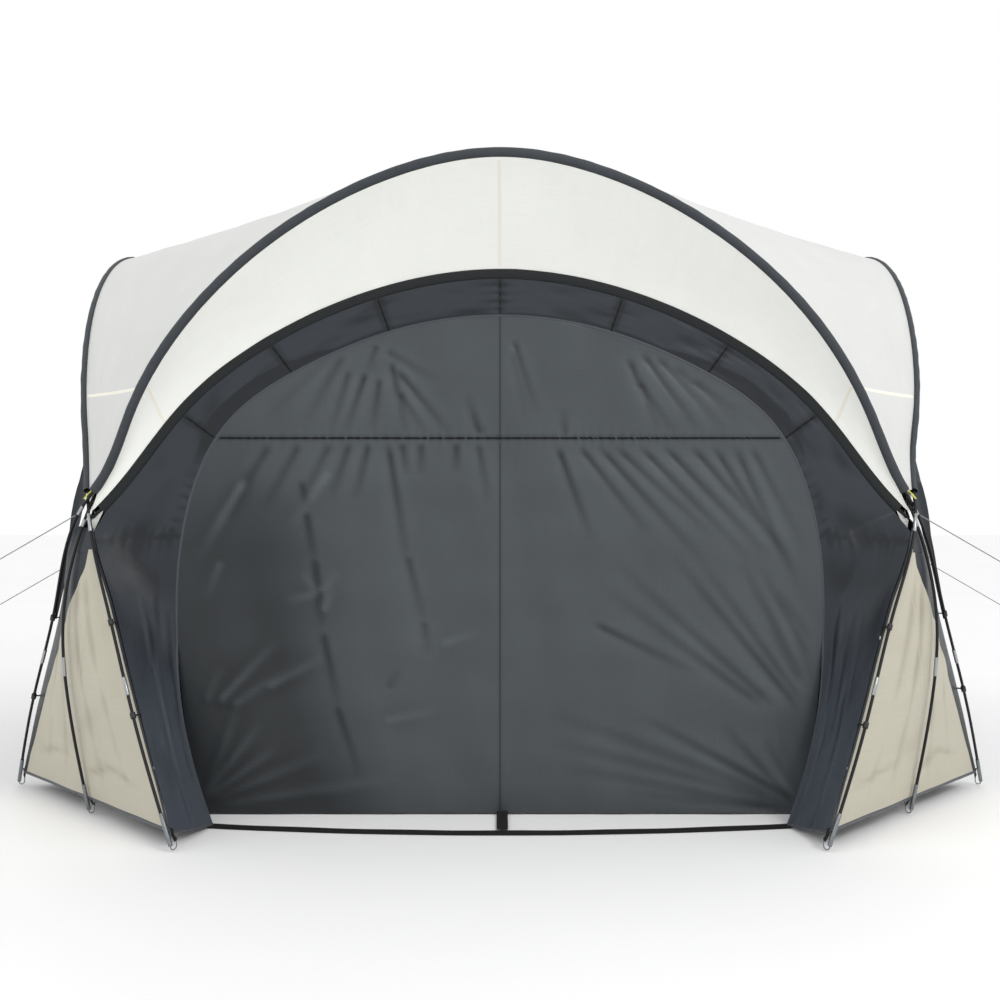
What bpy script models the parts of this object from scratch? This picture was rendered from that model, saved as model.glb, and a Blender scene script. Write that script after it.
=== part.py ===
"""Dome tent for a hot tub: tilted outer arches, crossing diagonal poles, a stretched roof and zipped walls.

The tent has four like sides. Each piece is drawn once, for the front side or the front right corner,
and turned about the tent's middle. X runs to the right, Y to the back and Z up from the ground.
"""

import bpy
import numpy as np
from math import cos, pi, radians, sin, sqrt

# Driving dimensions, in metres
FOOT_OUT = 1.95  # from the middle to the line of the feet, for a tent 3.9 m wide
FOOT_IN = 1.067  # from the middle of a side to its nearer feet
MIDDLE_FOOT = 1.501
NODE_OUT = 1.506  # the corner where the poles cross
NODE_HEIGHT = 1.14
APEX_HEIGHT = 2.535
WALL_OUT = 1.50
ARCH_LEAN = radians(12.8)
POLE_RADIUS = 0.0055
POLE_LIFT = 0.0118  # spacing of crossing poles
FOOT_SLEEVE_RADIUS = 0.0075
FOOT_SLEEVE_LENGTH = 0.11
FOOT_SLEEVE_STEP = 0.0004  # length of the shoulder from the sleeve down to the pole
SLEEVE_HALF_WIDTH = 0.018
SLEEVE_HALF_THICKNESS = 0.008
SLEEVE_BORE = 0.0061
INNER_HALF_THICKNESS = 0.0065
FABRIC = 0.003
SEAM = 0.0006  # clear gap between pieces that are sewn or zipped together
WELD = 0.00002
BEHIND_POLE = 0.0108  # from a leg's middle line in to the cloth behind it
SEAM_SHIFT = 0.0017  # sideways, from a leg's middle line to the edge of the cloth
LEG_BOW = 0.025
ROOF_SAG = 0.02
TIP_CLEAR = 0.011  # of the roof tips over the crossing poles
STRAP_WIDTH = 0.05
STRAP_THICKNESS = 0.0025
STRAP_BOW = 0.085
STRAP_AHEAD = 0.03  # of a strap's ends before the side panels' feet
ROPE_RADIUS = 0.0025
PEG_RADIUS = 0.008
PEG_HEIGHT = 0.03
PEG_TAPER = 0.01  # share of a rope that widens into its peg
TIE_HEIGHT = 1.095  # of the corner ropes' ends on the legs
TIE_CLEAR = 0.0031  # from the pole's surface to the middle of the rope's end
WALL_TIE_HEIGHT = 1.22
WALL_TIE_CLEAR = 0.0022
CORNER_PEG = 3.42  # from the middle out to the pegs of the front corners' ropes
BACK_PEG = (2.9, 1.94)  # out and back, to the pegs of the back corners' ropes
SIDE_PEG = 3.57

# Half outlines, from the top of the arch to its end
OUTER_ARCH = ((0, 1.227), (0.342, 1.168), (0.691, 1.009), (1.054, 0.723), (1.328, 0.335), (1.456, 0.078))
INNER_ARCH = ((0, 1.979), (0.362, 1.932), (0.833, 1.739), (1.158, 1.487), (1.398, 1.185), (1.4905, 1.086))
DIAGONAL = ((2.208, 0.45), (2.223, 0.71), (2.1182, 1.14), (1.845, 1.6), (1.345, 2.1), (0.7, 2.425))
DOOR_WIDEST_HEIGHT = 0.64
DOOR = (
    (0, 1.825), (0.35, 1.78), (0.72, 1.635), (1.0, 1.43), (1.135, 1.15),
    (1.18, DOOR_WIDEST_HEIGHT), (1.15, 0.3),
)
DOOR_FOOT = (1.1, 0.0034)
PANEL_FOOT = (1.012, -1.65)
LEG_HEIGHTS = (0.96, 0.84, 0.70, 0.56, 0.42, 0.28, 0.16, 0.055)

PANEL_TOP = 0.93
PANEL_CLEAR = 0.002  # between a corner panel and the middle leg, beyond BEHIND_POLE
PANEL_ROUNDNESS = 1.6  # power of the curve from leg to leg: higher is flatter at the middle leg

ARCH_STEPS = 22
LEG_STEPS = 6
DIAGONAL_STEPS = 30
ACROSS_STEPS = 8
SIDES = ("front", "right", "back", "left")
CORNERS = ("front_right", "back_right", "back_left", "front_left")


def clear_scene():
    """Removes every object that is in the scene."""
    for obj in list(bpy.data.objects):
        bpy.data.objects.remove(obj, do_unlink=True)


def finish(name, colour, roughness, metallic=0.0):
    """A Principled material of one colour, given in linear light."""
    material = bpy.data.materials.new(name)
    material.use_nodes = True
    shader = material.node_tree.nodes["Principled BSDF"]
    shader.inputs["Base Color"].default_value = (*colour, 1)
    shader.inputs["Roughness"].default_value = roughness
    shader.inputs["Metallic"].default_value = metallic
    return material


def turned(points, quarter):
    """Points turned about the tent's middle by a number of quarter turns."""
    points = np.array(points, float)
    for _ in range(quarter):
        points = np.stack([-points[..., 1], points[..., 0], points[..., 2]], axis=-1)
    return points


def flipped(points):
    """The mirror image of points, left for right."""
    return np.array(points, float) * (-1, 1, 1)


class Spline:
    """A natural cubic curve through a few points, read by its distance along their chords."""

    def __init__(self, points):
        self.points = np.array(points, float)
        steps = np.diff(self.points, axis=0)
        self.knots = np.concatenate([[0], np.cumsum(np.linalg.norm(steps, axis=1))])
        gaps = np.diff(self.knots)
        rows = np.eye(len(self.knots))
        wanted = np.zeros_like(self.points)
        for i in range(1, len(gaps)):
            rows[i, i - 1:i + 2] = gaps[i - 1], 2 * (gaps[i - 1] + gaps[i]), gaps[i]
            wanted[i] = 6 * (steps[i] / gaps[i] - steps[i - 1] / gaps[i - 1])
        self.bends = np.linalg.solve(rows, wanted)

    def at(self, distance):
        """The curve's point at one distance."""
        i = int(np.clip(np.searchsorted(self.knots, distance) - 1, 0, len(self.knots) - 2))
        gap = self.knots[i + 1] - self.knots[i]
        b = (distance - self.knots[i]) / gap
        a = 1 - b
        curve = (a ** 3 - a) * self.bends[i] + (b ** 3 - b) * self.bends[i + 1]
        return a * self.points[i] + b * self.points[i + 1] + curve * gap ** 2 / 6

    def read(self, distances):
        """The curve's points at several distances."""
        return np.array([self.at(distance) for distance in distances])


def unit(vectors):
    """Vectors of the same direction and a length of one."""
    vectors = np.array(vectors, float)
    return vectors / np.linalg.norm(vectors, axis=-1, keepdims=True)


def directions(path):
    """The direction of a path at each of its points."""
    return unit(np.gradient(np.array(path, float), axis=0))


def frames(path, plane_normal):
    """For each point of a path, the axis nearest to the plane's normal and the axis across both."""
    along = directions(path)
    normal = np.array(plane_normal, float)
    side = unit(normal - (along @ normal)[:, None] * along)
    return along, side, unit(np.cross(side, along))


def rings_around(path, plane_normal, across, through, corners=8):
    """Elliptic rings around a path: a half size across, in its plane, and one through the plane."""
    along, side, out = frames(path, plane_normal)
    turns = 2 * pi * np.arange(corners) / corners
    across = np.broadcast_to(across, len(path))[:, None, None]
    through = np.broadcast_to(through, len(path))[:, None, None]
    rings = np.array(path)[:, None] + across * np.cos(turns)[None, :, None] * out[:, None]
    return rings + through * np.sin(turns)[None, :, None] * side[:, None], along


def stand_on_ground(ring, direction):
    """Slides a ring along its tube until it lies flat on the ground."""
    return ring - direction * (ring[:, 2] / direction[2])[:, None]


def add_object(name, points, faces, material):
    """An object from points and faces, shaded smooth except at its sharp edges."""
    mesh = bpy.data.meshes.new(name)
    mesh.from_pydata([tuple(p) for p in points], [], faces)
    mesh.materials.append(material)
    mesh.validate()
    mesh.shade_smooth()
    mesh.set_sharp_from_angle(angle=radians(50))
    obj = bpy.data.objects.new(name, mesh)
    bpy.context.scene.collection.objects.link(obj)
    return obj


def quads_between(count, corners, start=0, inside=False):
    """The faces that join each ring of corners to the next."""
    faces = []
    for i in range(count - 1):
        for j in range(corners):
            a, b = start + i * corners + j, start + i * corners + (j + 1) % corners
            face = (a, b, b + corners, a + corners)
            faces.append(face[::-1] if inside else face)
    return faces


def solid_tube(name, rings, material):
    """A closed tube through rings of points, with flat ends."""
    count, corners = rings.shape[:2]
    faces = quads_between(count, corners)
    faces.append(tuple(range(corners))[::-1])
    faces.append(tuple((count - 1) * corners + j for j in range(corners)))
    return add_object(name, rings.reshape(-1, 3), faces, material)


def hollow_tube(name, outer, inner, material):
    """A tube with a bore that is open at both ends."""
    count, corners = outer.shape[:2]
    total = count * corners
    faces = quads_between(count, corners) + quads_between(count, corners, total, True)
    for j in range(corners):
        k = (j + 1) % corners
        last = (count - 1) * corners
        faces.append((j, total + j, total + k, k))
        faces.append((last + k, total + last + k, total + last + j, last + j))
    return add_object(name, np.concatenate([outer, inner]).reshape(-1, 3), faces, material)


def sheet(name, grid, material, thickness=FABRIC):
    """A closed sheet of fabric about a grid of points, thickened to both sides."""
    rows, columns = grid.shape[:2]
    faces = []
    for i in range(rows - 1):
        for j in range(columns - 1):
            a = i * columns + j
            faces.append((a, a + 1, a + columns + 1, a + columns))
    obj = add_object(name, grid.reshape(-1, 3), faces, material)
    weld = obj.modifiers.new("join_tips", "WELD")
    weld.merge_threshold = WELD
    thick = obj.modifiers.new("cloth_thickness", "SOLIDIFY")
    thick.thickness = thickness
    thick.offset = 0
    thick.use_even_offset = True
    return obj


def rows_between(first, last, steps):
    """Rows of points laid straight from one edge to the other."""
    shares = np.linspace(0, 1, steps + 1)[:, None, None]
    return (1 - shares) * np.array(first)[None] + shares * np.array(last)[None]


def both_halves(half):
    """An outline from its left end to its right end, from its half that starts at the top."""
    left = flipped(half)[::-1]
    return np.concatenate([left[:-1], np.array(half, float)])


# Corner and outer arch

NODE = np.array((NODE_OUT, -NODE_OUT, NODE_HEIGHT))
OUTWARD = np.array((1, -1, 0)) / sqrt(2)
ARCH_NORMAL = np.array((0, -cos(ARCH_LEAN), sin(ARCH_LEAN)))


def leg_points(start, foot):
    """Points of a leg from the corner to its foot, bowed outward by the tent's tension."""
    shares = np.array((0.33, 0.66, 1))[:, None]
    bow = LEG_BOW * 4 * shares * (1 - shares) * OUTWARD
    return start + shares * (foot - start) + bow


def outer_arch_curve():
    """The front outer arch's pole, foot to foot, and the distances of its two corner nodes."""
    half = [(u, -NODE_OUT - v * sin(ARCH_LEAN), NODE_HEIGHT + v * cos(ARCH_LEAN)) for u, v in OUTER_ARCH]
    foot = np.array((FOOT_OUT, -FOOT_IN, 0))
    right = np.concatenate([[NODE], leg_points(NODE, foot)])
    raised = NODE + OUTWARD * POLE_LIFT
    left = flipped(np.concatenate([[raised], leg_points(raised, foot)]))
    curve = Spline(np.concatenate([left[::-1], both_halves(half), right]))
    nodes = len(left) - 1
    return curve, curve.knots[nodes], curve.knots[-1 - nodes]


ARCH, LEFT_NODE_AT, RIGHT_NODE_AT = outer_arch_curve()
BARE_POLE = 0.07  # pole without sleeve above each corner
SLEEVE_AT = np.linspace(LEFT_NODE_AT + BARE_POLE, RIGHT_NODE_AT - BARE_POLE, ARCH_STEPS + 1)
SLEEVE_PATH = ARCH.read(SLEEVE_AT)


def pole_stations(start, first, middle, last, end):
    """Distances along a pole, close together at its two foot sleeves."""
    foot = FOOT_SLEEVE_LENGTH
    bend = np.array((0.10, 0.05, 0))
    straight = 2 * bend[0]
    leg = np.concatenate([np.linspace(start + foot, first - straight, LEG_STEPS), first - bend])
    other = np.concatenate([last + bend[::-1], np.linspace(last + straight, end - foot, LEG_STEPS)])
    low_end = [start, start + foot - FOOT_SLEEVE_STEP]
    far_end = [end - foot + FOOT_SLEEVE_STEP, end]
    return np.concatenate([low_end, leg, middle, other, far_end])


def pole_rings(path, stations, normal):
    """Rings along a pole, wider at its foot sleeves and flat on the ground at both ends."""
    foot = FOOT_SLEEVE_LENGTH - FOOT_SLEEVE_STEP / 2
    at_foot = (stations < stations[0] + foot) | (stations > stations[-1] - foot)
    radius = np.where(at_foot, FOOT_SLEEVE_RADIUS, POLE_RADIUS)
    rings, along = rings_around(path, normal, radius, radius)
    rings[0] = stand_on_ground(rings[0], along[0])
    rings[-1] = stand_on_ground(rings[-1], along[-1])
    return rings


def outer_poles(material):
    """The four outer arch poles, each from foot to foot."""
    stations = pole_stations(0, LEFT_NODE_AT, SLEEVE_AT, RIGHT_NODE_AT, ARCH.knots[-1])
    rings = pole_rings(ARCH.read(stations), stations, ARCH_NORMAL)
    for quarter, side in enumerate(SIDES):
        solid_tube(f"{side}_arch_pole", turned(rings, quarter), material)


def outer_sleeves(material):
    """Flat sleeves over the outer poles, at the same stations, so that the pole stays inside."""
    stations = pole_stations(0, LEFT_NODE_AT, SLEEVE_AT, RIGHT_NODE_AT, ARCH.knots[-1])
    path = ARCH.read(stations)
    outer, _ = rings_around(path, ARCH_NORMAL, SLEEVE_HALF_WIDTH, SLEEVE_HALF_THICKNESS)
    inner, _ = rings_around(path, ARCH_NORMAL, SLEEVE_BORE, SLEEVE_BORE)
    kept = (stations >= SLEEVE_AT[0]) & (stations <= SLEEVE_AT[-1])
    for quarter, side in enumerate(SIDES):
        around, bore = turned(outer[kept], quarter), turned(inner[kept], quarter)
        hollow_tube(f"{side}_arch_sleeve", around, bore, material)


# Diagonal poles

DIAGONAL_NODE_AT = 1.1  # distance along a diagonal pole from its foot to about the corner
DIAGONAL_LEG_END = 1.3  # distance along it within which the leg lies


def diagonal_curve(lift):
    """One diagonal pole from its right foot over the top to its left foot, in the plane of X and Z."""
    half = [(0, 0, APEX_HEIGHT + lift)] + [(r, 0, z) for r, z in DIAGONAL[::-1]]
    half.append((MIDDLE_FOOT * sqrt(2), 0, 0))
    return Spline(both_halves(half))


def diagonal_poles(material):
    """Two poles that cross under the top of the roof, one passing over the other."""
    for name, lift, angle in (("diagonal_pole_a", -0.5, pi / 4), ("diagonal_pole_b", 0.5, 3 * pi / 4)):
        curve = diagonal_curve(lift * POLE_LIFT)
        end = curve.knots[-1]
        roof_part = DIAGONAL_NODE_AT + 0.1
        middle = np.linspace(roof_part, end - roof_part, DIAGONAL_STEPS)
        stations = pole_stations(0, DIAGONAL_NODE_AT, middle, end - DIAGONAL_NODE_AT, end)
        rings = pole_rings(curve.read(stations), stations, (0, -1, 0))
        turn = np.array(((cos(angle), sin(angle), 0), (-sin(angle), cos(angle), 0), (0, 0, 1)))
        solid_tube(name, rings @ turn, material)


# Inner arches

INNER_CURVE = Spline(both_halves([(x, -WALL_OUT, z) for x, z in INNER_ARCH]))
INNER_TIP = 0.075
INNER_TIP_STEP = 0.004  # length over which the sleeve narrows to the bare pole


def inner_stations():
    """Distances along the inner arch: a bare tip, the sleeve and the other bare tip."""
    end = INNER_CURVE.knots[-1]
    sleeve = np.linspace(INNER_TIP, end - INNER_TIP, ARCH_STEPS + 1)
    bare = INNER_TIP - INNER_TIP_STEP
    return np.concatenate([[0, bare], sleeve, [end - bare, end]])


INNER_PATH = INNER_CURVE.read(inner_stations())
_, _, INNER_OUT = frames(INNER_PATH, (0, -1, 0))


def inner_arches(material):
    """The poles along the tops of the walls, in sleeves that end short of the corners."""
    wide = np.full(len(INNER_PATH), SLEEVE_HALF_WIDTH)
    thick = np.full(len(INNER_PATH), INNER_HALF_THICKNESS)
    wide[[0, 1, -2, -1]] = POLE_RADIUS
    thick[[0, 1, -2, -1]] = POLE_RADIUS
    rings, _ = rings_around(INNER_PATH, (0, -1, 0), wide, thick)
    for quarter, side in enumerate(SIDES):
        solid_tube(f"{side}_inner_arch", turned(rings, quarter), material)


# Visor strips

VISOR_EDGE = 0.28  # share of the cloth's thickness by which its edge reaches past its middle line


def visors(material):
    """The strip from the outer sleeve's lower edge back to the inner sleeve's upper edge."""
    reach = SLEEVE_HALF_WIDTH + SEAM + FABRIC * VISOR_EDGE
    _, _, out = frames(SLEEVE_PATH, ARCH_NORMAL)
    side = 1 if out[len(out) // 2][2] > 0 else -1
    front = SLEEVE_PATH - side * out * reach
    inner_side = 1 if INNER_OUT[len(INNER_OUT) // 2][2] > 0 else -1
    back = INNER_PATH[2:-2] + inner_side * INNER_OUT[2:-2] * reach
    grid = rows_between(front, back, 3)
    for quarter, name in enumerate(SIDES):
        sheet(f"{name}_visor", turned(grid, quarter), material)


# Roof

ROOF_TOUCH = 0.40  # distance from the middle to where the cloth leaves a diagonal pole
DIAGONAL_RADIUS = 2.288  # of the diagonal poles' bend at the top
SAG_SPAN = 2.5  # width of cloth between two arches that sags by ROOF_SAG
ROOF_TIPS = ((1.045, 0.008), (1.09, 0.013), (1.135, 0.014), (1.165, 0.015))  # height and half width
ROOF_SHARES = (0.88, 0.74, 0.6, 0.45, 0.3, 0.2, 0.1, 0)  # of the way from the arch tops to the middle


def roof_height(distance, chord_distance, chord_height):
    """Height of the roof cloth over a diagonal pole, and beyond it on the way to the arches."""
    lift = POLE_LIFT / 2 + POLE_RADIUS + 2 * SEAM + FABRIC / 2
    centre = APEX_HEIGHT - DIAGONAL_RADIUS
    on_pole = centre + sqrt(DIAGONAL_RADIUS ** 2 - min(distance, ROOF_TOUCH) ** 2) + lift
    if distance <= ROOF_TOUCH:
        return on_pole
    share = (distance - ROOF_TOUCH) / (chord_distance - ROOF_TOUCH)
    return (1 - share) * on_pole + share * chord_height


def roof_corner_rows():
    """Rows of the front right roof quarter, from its tip below the corner up to the arch tops."""
    _, side, out = frames(SLEEVE_PATH, ARCH_NORMAL)
    up = 1 if out[len(out) // 2][2] > 0 else -1
    edge = SLEEVE_PATH + up * out * (SLEEVE_HALF_WIDTH + SEAM + FABRIC / 2)
    middle = len(edge) // 2
    first_edge = edge[middle:][::-1]
    other_edge = turned(edge[:middle + 1], 1)
    rows = []
    tip_out = NODE_OUT * sqrt(2) + POLE_LIFT + POLE_RADIUS + TIP_CLEAR
    across = np.array((1, 1, 0)) / sqrt(2)
    shares = np.linspace(0, 1, ACROSS_STEPS + 1)
    for height, width in ROOF_TIPS:
        centre = OUTWARD * max(tip_out, middle_leg_out(height) + 2 * POLE_RADIUS) + (0, 0, height)
        rows.append([centre + across * width * (2 * share - 1) for share in shares])
    for point, other in zip(first_edge, other_edge):
        sag = ROOF_SAG * np.linalg.norm(other - point) / SAG_SPAN
        row = []
        for share in shares:
            place = (1 - share) * point + share * other
            row.append(place - (OUTWARD * 0.7 + (0, 0, 0.7)) * sag * 4 * share * (1 - share))
        rows.append(row)
    return rows, first_edge[-1]


def roofs(material):
    """Roof quarters: a part between two arches, and a part from the arch tops over the middle."""
    rows, arch_top = roof_corner_rows()
    reach = -arch_top[1]
    touch = ROOF_TOUCH / sqrt(2)
    top_of_touch = roof_height(ROOF_TOUCH, 1, 1)
    for share in ROOF_SHARES:
        along = reach * share
        if along > touch:
            part = (along - touch) / (reach - touch)
            height = (1 - part) * top_of_touch + part * arch_top[2]
        else:
            height = roof_height(along * sqrt(2), 1, 1)
        sag = ROOF_SAG * 4 * (1 - share) * share
        ends = np.array(((0, -along, height - sag), (along, 0, height - sag)))
        ridge_out = along / sqrt(2)
        ridge_height = roof_height(ridge_out, reach / sqrt(2), arch_top[2] - ROOF_SAG * share)
        ridge = OUTWARD * ridge_out + (0, 0, ridge_height)
        half = np.linspace(0, 1, ACROSS_STEPS // 2 + 1)[:, None]
        first = (1 - half) * ends[0] + half * ridge
        second = (1 - half) * ridge + half * ends[1]
        rows.append(np.concatenate([first, second[1:]]))
    grid = np.array([np.array(row) for row in rows])
    grid = grid + (SEAM / 2, -SEAM / 2, 0)
    for quarter, corner in enumerate(CORNERS):
        sheet(f"{corner}_roof", turned(grid[:, ::-1], quarter), material)


# Walls and doors

ZIP_UPPER = 0.36  # along the zip, from its widest point up to the last step beside the arch
ZIP_LOWER = 0.24  # and up to the first step beside the leg


def door_outline():
    """The zip's line from the bottom left corner over the top to the bottom right corner."""
    half = [(x, -WALL_OUT, z) for x, z in DOOR] + [(DOOR_FOOT[0], -WALL_OUT, DOOR_FOOT[1])]
    return Spline(both_halves(half))


def place_at_height(curve, first, last, height):
    """The point of a rising or falling stretch of a curve at a height."""
    rising = curve.at(first)[2] < curve.at(last)[2]
    for _ in range(40):
        middle = (first + last) / 2
        if (curve.at(middle)[2] < height) == rising:
            first = middle
        else:
            last = middle
    return curve.at(first)


def near_leg(height):
    """The right arch's pole where it comes down to the front right corner, at a height."""
    return turned(place_at_height(ARCH, 0, LEFT_NODE_AT, height), 1)


def far_leg(height):
    """The front arch's pole where it comes down beyond the front right corner, at a height."""
    return place_at_height(ARCH, RIGHT_NODE_AT, ARCH.knots[-1], height)


def middle_leg_out(height):
    """How far the diagonal pole's leg stands from the tent's middle, at a height."""
    return abs(place_at_height(diagonal_curve(0), 0, DIAGONAL_LEG_END, height)[0])


def wall_outer_edge(way):
    """One half of the wall's outer edge: down from the arch's top to the front foot at its right or left."""
    reach = SLEEVE_HALF_WIDTH + SEAM
    up = 1 if INNER_OUT[len(INNER_OUT) // 2][2] > 0 else -1
    under = INNER_PATH - up * INNER_OUT * reach
    middle = len(under) // 2
    points = [point * (way, 1, 1) for point in under[middle:-2]]
    inward = -OUTWARD * (way, 1, 1)
    for height in LEG_HEIGHTS:
        leg = near_leg(height) if way > 0 else turned(far_leg(height), 3)
        points.append(leg + inward * BEHIND_POLE - (way * SEAM_SHIFT, 0, 0))
    return np.array(points)


def zip_points(count, header):
    """Points down the right half of the zip, which the wall's edge and the door's edge share."""
    zip_line = door_outline()
    middle, end = zip_line.knots[-1] / 2, zip_line.knots[-1]
    widest = zip_line.knots[-3]
    first = np.linspace(middle, widest - ZIP_UPPER, header)
    rest = np.linspace(widest - ZIP_LOWER, end, count - header)
    return zip_line.read(np.concatenate([first, rest]))


def wall_inner_edge(points):
    """The wall's edge along the zip, which runs out to the front at its foot."""
    flare = np.array((PANEL_FOOT[0], PANEL_FOOT[1], DOOR_FOOT[1])) - points[-1]
    edge = points.copy()
    for point in edge:
        share = np.clip((DOOR_WIDEST_HEIGHT - point[2]) / DOOR_WIDEST_HEIGHT, 0, 1)
        point += flare * (share ** 2, share, 0)
    return edge


def walls(material):
    """A band over each door and a panel down each side of it, in one cloth."""
    right = wall_outer_edge(1)
    left = wall_outer_edge(-1)
    inner = wall_inner_edge(zip_points(len(right), len(right) - len(LEG_HEIGHTS)))
    outer_all = np.concatenate([left[:0:-1], right])
    inner_all = np.concatenate([flipped(inner)[:0:-1], inner])
    grid = rows_between(outer_all, inner_all, 3)
    for quarter, side in enumerate(SIDES):
        sheet(f"{side}_wall", turned(grid, quarter), material)


def doors(material):
    """The zipped panel that closes each wall's opening."""
    count = len(wall_outer_edge(1))
    points = zip_points(count, count - len(LEG_HEIGHTS))
    along = directions(points)
    inward = np.stack([along[:, 2], np.zeros(count), -along[:, 0]], axis=-1)
    inward[0] = (0, 0, -1)
    right = points + inward * (SEAM * 2)
    rows = rows_between(flipped(right), right, 4).transpose(1, 0, 2)
    for quarter, side in enumerate(SIDES):
        sheet(f"{side}_door", turned(rows, quarter), material)


# Corner panels

def corner_panels(material):
    """The cloth between the outer legs, which the middle leg pushes out."""
    rows = []
    for height in np.linspace(PANEL_TOP, LEG_HEIGHTS[-1], ACROSS_STEPS + 1):
        near = near_leg(height) - OUTWARD * BEHIND_POLE + (SEAM_SHIFT, 0, 0)
        far = far_leg(height) - OUTWARD * BEHIND_POLE - (0, SEAM_SHIFT, 0)
        centre = OUTWARD * (middle_leg_out(height) - BEHIND_POLE - PANEL_CLEAR) + (0, 0, height)
        shares = np.linspace(0, 1, ACROSS_STEPS + 1)[:, None]
        bulge = (centre - (near + far) / 2) * (1 - np.abs(2 * shares - 1) ** PANEL_ROUNDNESS)
        rows.append((1 - shares) * near + shares * far + bulge)
    grid = np.array(rows)
    for quarter, corner in enumerate(CORNERS):
        sheet(f"{corner}_panel", turned(grid, quarter), material)


# Straps and ropes

def ground_straps(material):
    """Webbing on the ground across each doorway, from one side panel's foot to the other's."""
    height = STRAP_THICKNESS / 2
    reach = PANEL_FOOT[0] + 0.01
    start = PANEL_FOOT[1] - STRAP_AHEAD
    xs = np.linspace(-reach, reach, 2 * ACROSS_STEPS + 1)
    front = np.array([(x, start - STRAP_BOW * (1 - (x / reach) ** 2), height) for x in xs])
    back = front + (0, STRAP_WIDTH, 0)
    grid = rows_between(front, back, 1)
    for quarter, side in enumerate(SIDES):
        sheet(f"{side}_ground_strap", turned(grid, quarter), material, STRAP_THICKNESS)


def ropes(material):
    """Taut ropes from the corners and from the two side walls, each to a peg on the ground."""
    left_tie = place_at_height(ARCH, 0, LEFT_NODE_AT, TIE_HEIGHT)
    ties = {
        "front_right": far_leg(TIE_HEIGHT),
        "front_left": left_tie,
        "back_right": turned(left_tie, 2),
        "back_left": turned(far_leg(TIE_HEIGHT), 2),
    }
    for name, tie in ties.items():
        way = np.sign(tie[0])
        start = tie + (way * (POLE_RADIUS + TIE_CLEAR), 0, 0)
        out, back = BACK_PEG if tie[1] > 0 else (CORNER_PEG, tie[1])
        rope(f"{name}_guy_rope", start, np.array((way * out, back, PEG_HEIGHT)), material)
    for name, way in (("left", -1), ("right", 1)):
        start = np.array((way * (WALL_OUT + FABRIC / 2 + WALL_TIE_CLEAR), 0, WALL_TIE_HEIGHT))
        rope(f"{name}_guy_rope", start, np.array((way * SIDE_PEG, 0, PEG_HEIGHT)), material)


def rope(name, start, peg, material):
    """A straight rope to the head of its peg, and the peg down to the ground."""
    ground = peg * (1, 1, 0)
    path = np.array((start, peg + (start - peg) * PEG_TAPER, peg, ground))
    radius = np.array((ROPE_RADIUS, ROPE_RADIUS, PEG_RADIUS, PEG_RADIUS))
    rings, _ = rings_around(path, (0, 1, 0), radius, radius)
    rings[-1][:, 2] = 0
    solid_tube(name, rings, material)


def build():
    """Clears the scene and models every piece of the tent in its own finish."""
    clear_scene()
    black = finish("black_fibreglass", (0.012, 0.012, 0.013), 0.35)
    sleeve = finish("charcoal_webbing", (0.035, 0.038, 0.042), 0.8)
    cream = finish("cream_roof_cloth", (0.74, 0.75, 0.73), 0.75)
    beige = finish("cream_panel_cloth", (0.62, 0.57, 0.48), 0.8)
    grey = finish("grey_wall_cloth", (0.075, 0.085, 0.095), 0.85)
    door_grey = finish("grey_door_cloth", (0.095, 0.105, 0.115), 0.85)
    webbing = finish("black_webbing", (0.02, 0.02, 0.02), 0.85)
    rope_grey = finish("grey_rope", (0.18, 0.18, 0.18), 0.8)
    outer_poles(black)
    outer_sleeves(sleeve)
    diagonal_poles(black)
    inner_arches(sleeve)
    visors(cream)
    roofs(cream)
    walls(grey)
    doors(door_grey)
    corner_panels(beige)
    ground_straps(webbing)
    ropes(rope_grey)


build()
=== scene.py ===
from math import cos, pi, radians, sin, sqrt

import bpy
import numpy as np
from mathutils import Matrix, Vector


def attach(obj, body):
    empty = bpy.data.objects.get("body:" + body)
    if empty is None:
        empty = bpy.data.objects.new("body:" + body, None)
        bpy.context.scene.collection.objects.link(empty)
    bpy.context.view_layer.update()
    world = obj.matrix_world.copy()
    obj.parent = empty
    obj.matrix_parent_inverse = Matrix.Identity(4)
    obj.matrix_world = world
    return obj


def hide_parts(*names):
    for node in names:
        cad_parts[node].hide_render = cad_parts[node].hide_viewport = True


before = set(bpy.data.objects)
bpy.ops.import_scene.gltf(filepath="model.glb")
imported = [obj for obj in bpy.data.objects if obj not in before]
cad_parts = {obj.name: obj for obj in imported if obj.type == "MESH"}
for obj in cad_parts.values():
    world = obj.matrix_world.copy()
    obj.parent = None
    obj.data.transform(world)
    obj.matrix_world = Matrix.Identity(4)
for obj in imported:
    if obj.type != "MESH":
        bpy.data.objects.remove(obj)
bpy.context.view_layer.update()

# Camera
# It stands level in front of the tent, as in the photograph.
EYE_DISTANCE = 5.579
EYE_HEIGHT = 1.122
bpy.ops.object.camera_add(location=(0, -EYE_DISTANCE, EYE_HEIGHT), rotation=(radians(90), 0, 0))
camera = bpy.context.object
camera.data.lens = 40.1
camera.data.sensor_width = 36
camera.data.shift_y = 0.0079
bpy.context.scene.camera = camera

# Light and floor
# A white room, with a large soft lamp at the upper right in front and a weaker one at the left.
bpy.context.scene.view_settings.view_transform = "Standard"
room = bpy.data.worlds.new("white_room")
room.use_nodes = True
room.node_tree.nodes["Background"].inputs["Color"].default_value = (1, 1, 1, 1)
room.node_tree.nodes["Background"].inputs["Strength"].default_value = 1.0
bpy.context.scene.world = room
for place, power, size in (((4.5, -6.5, 6.5), 190, 2.5), ((-6.0, -5.0, 5.0), 40, 3.0)):
    aim = (Vector((0, 0, 1.2)) - Vector(place)).to_track_quat("-Z", "Y")
    bpy.ops.object.light_add(type="AREA", location=place, rotation=aim.to_euler())
    bpy.context.object.data.energy = power
    bpy.context.object.data.size = size


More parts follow.
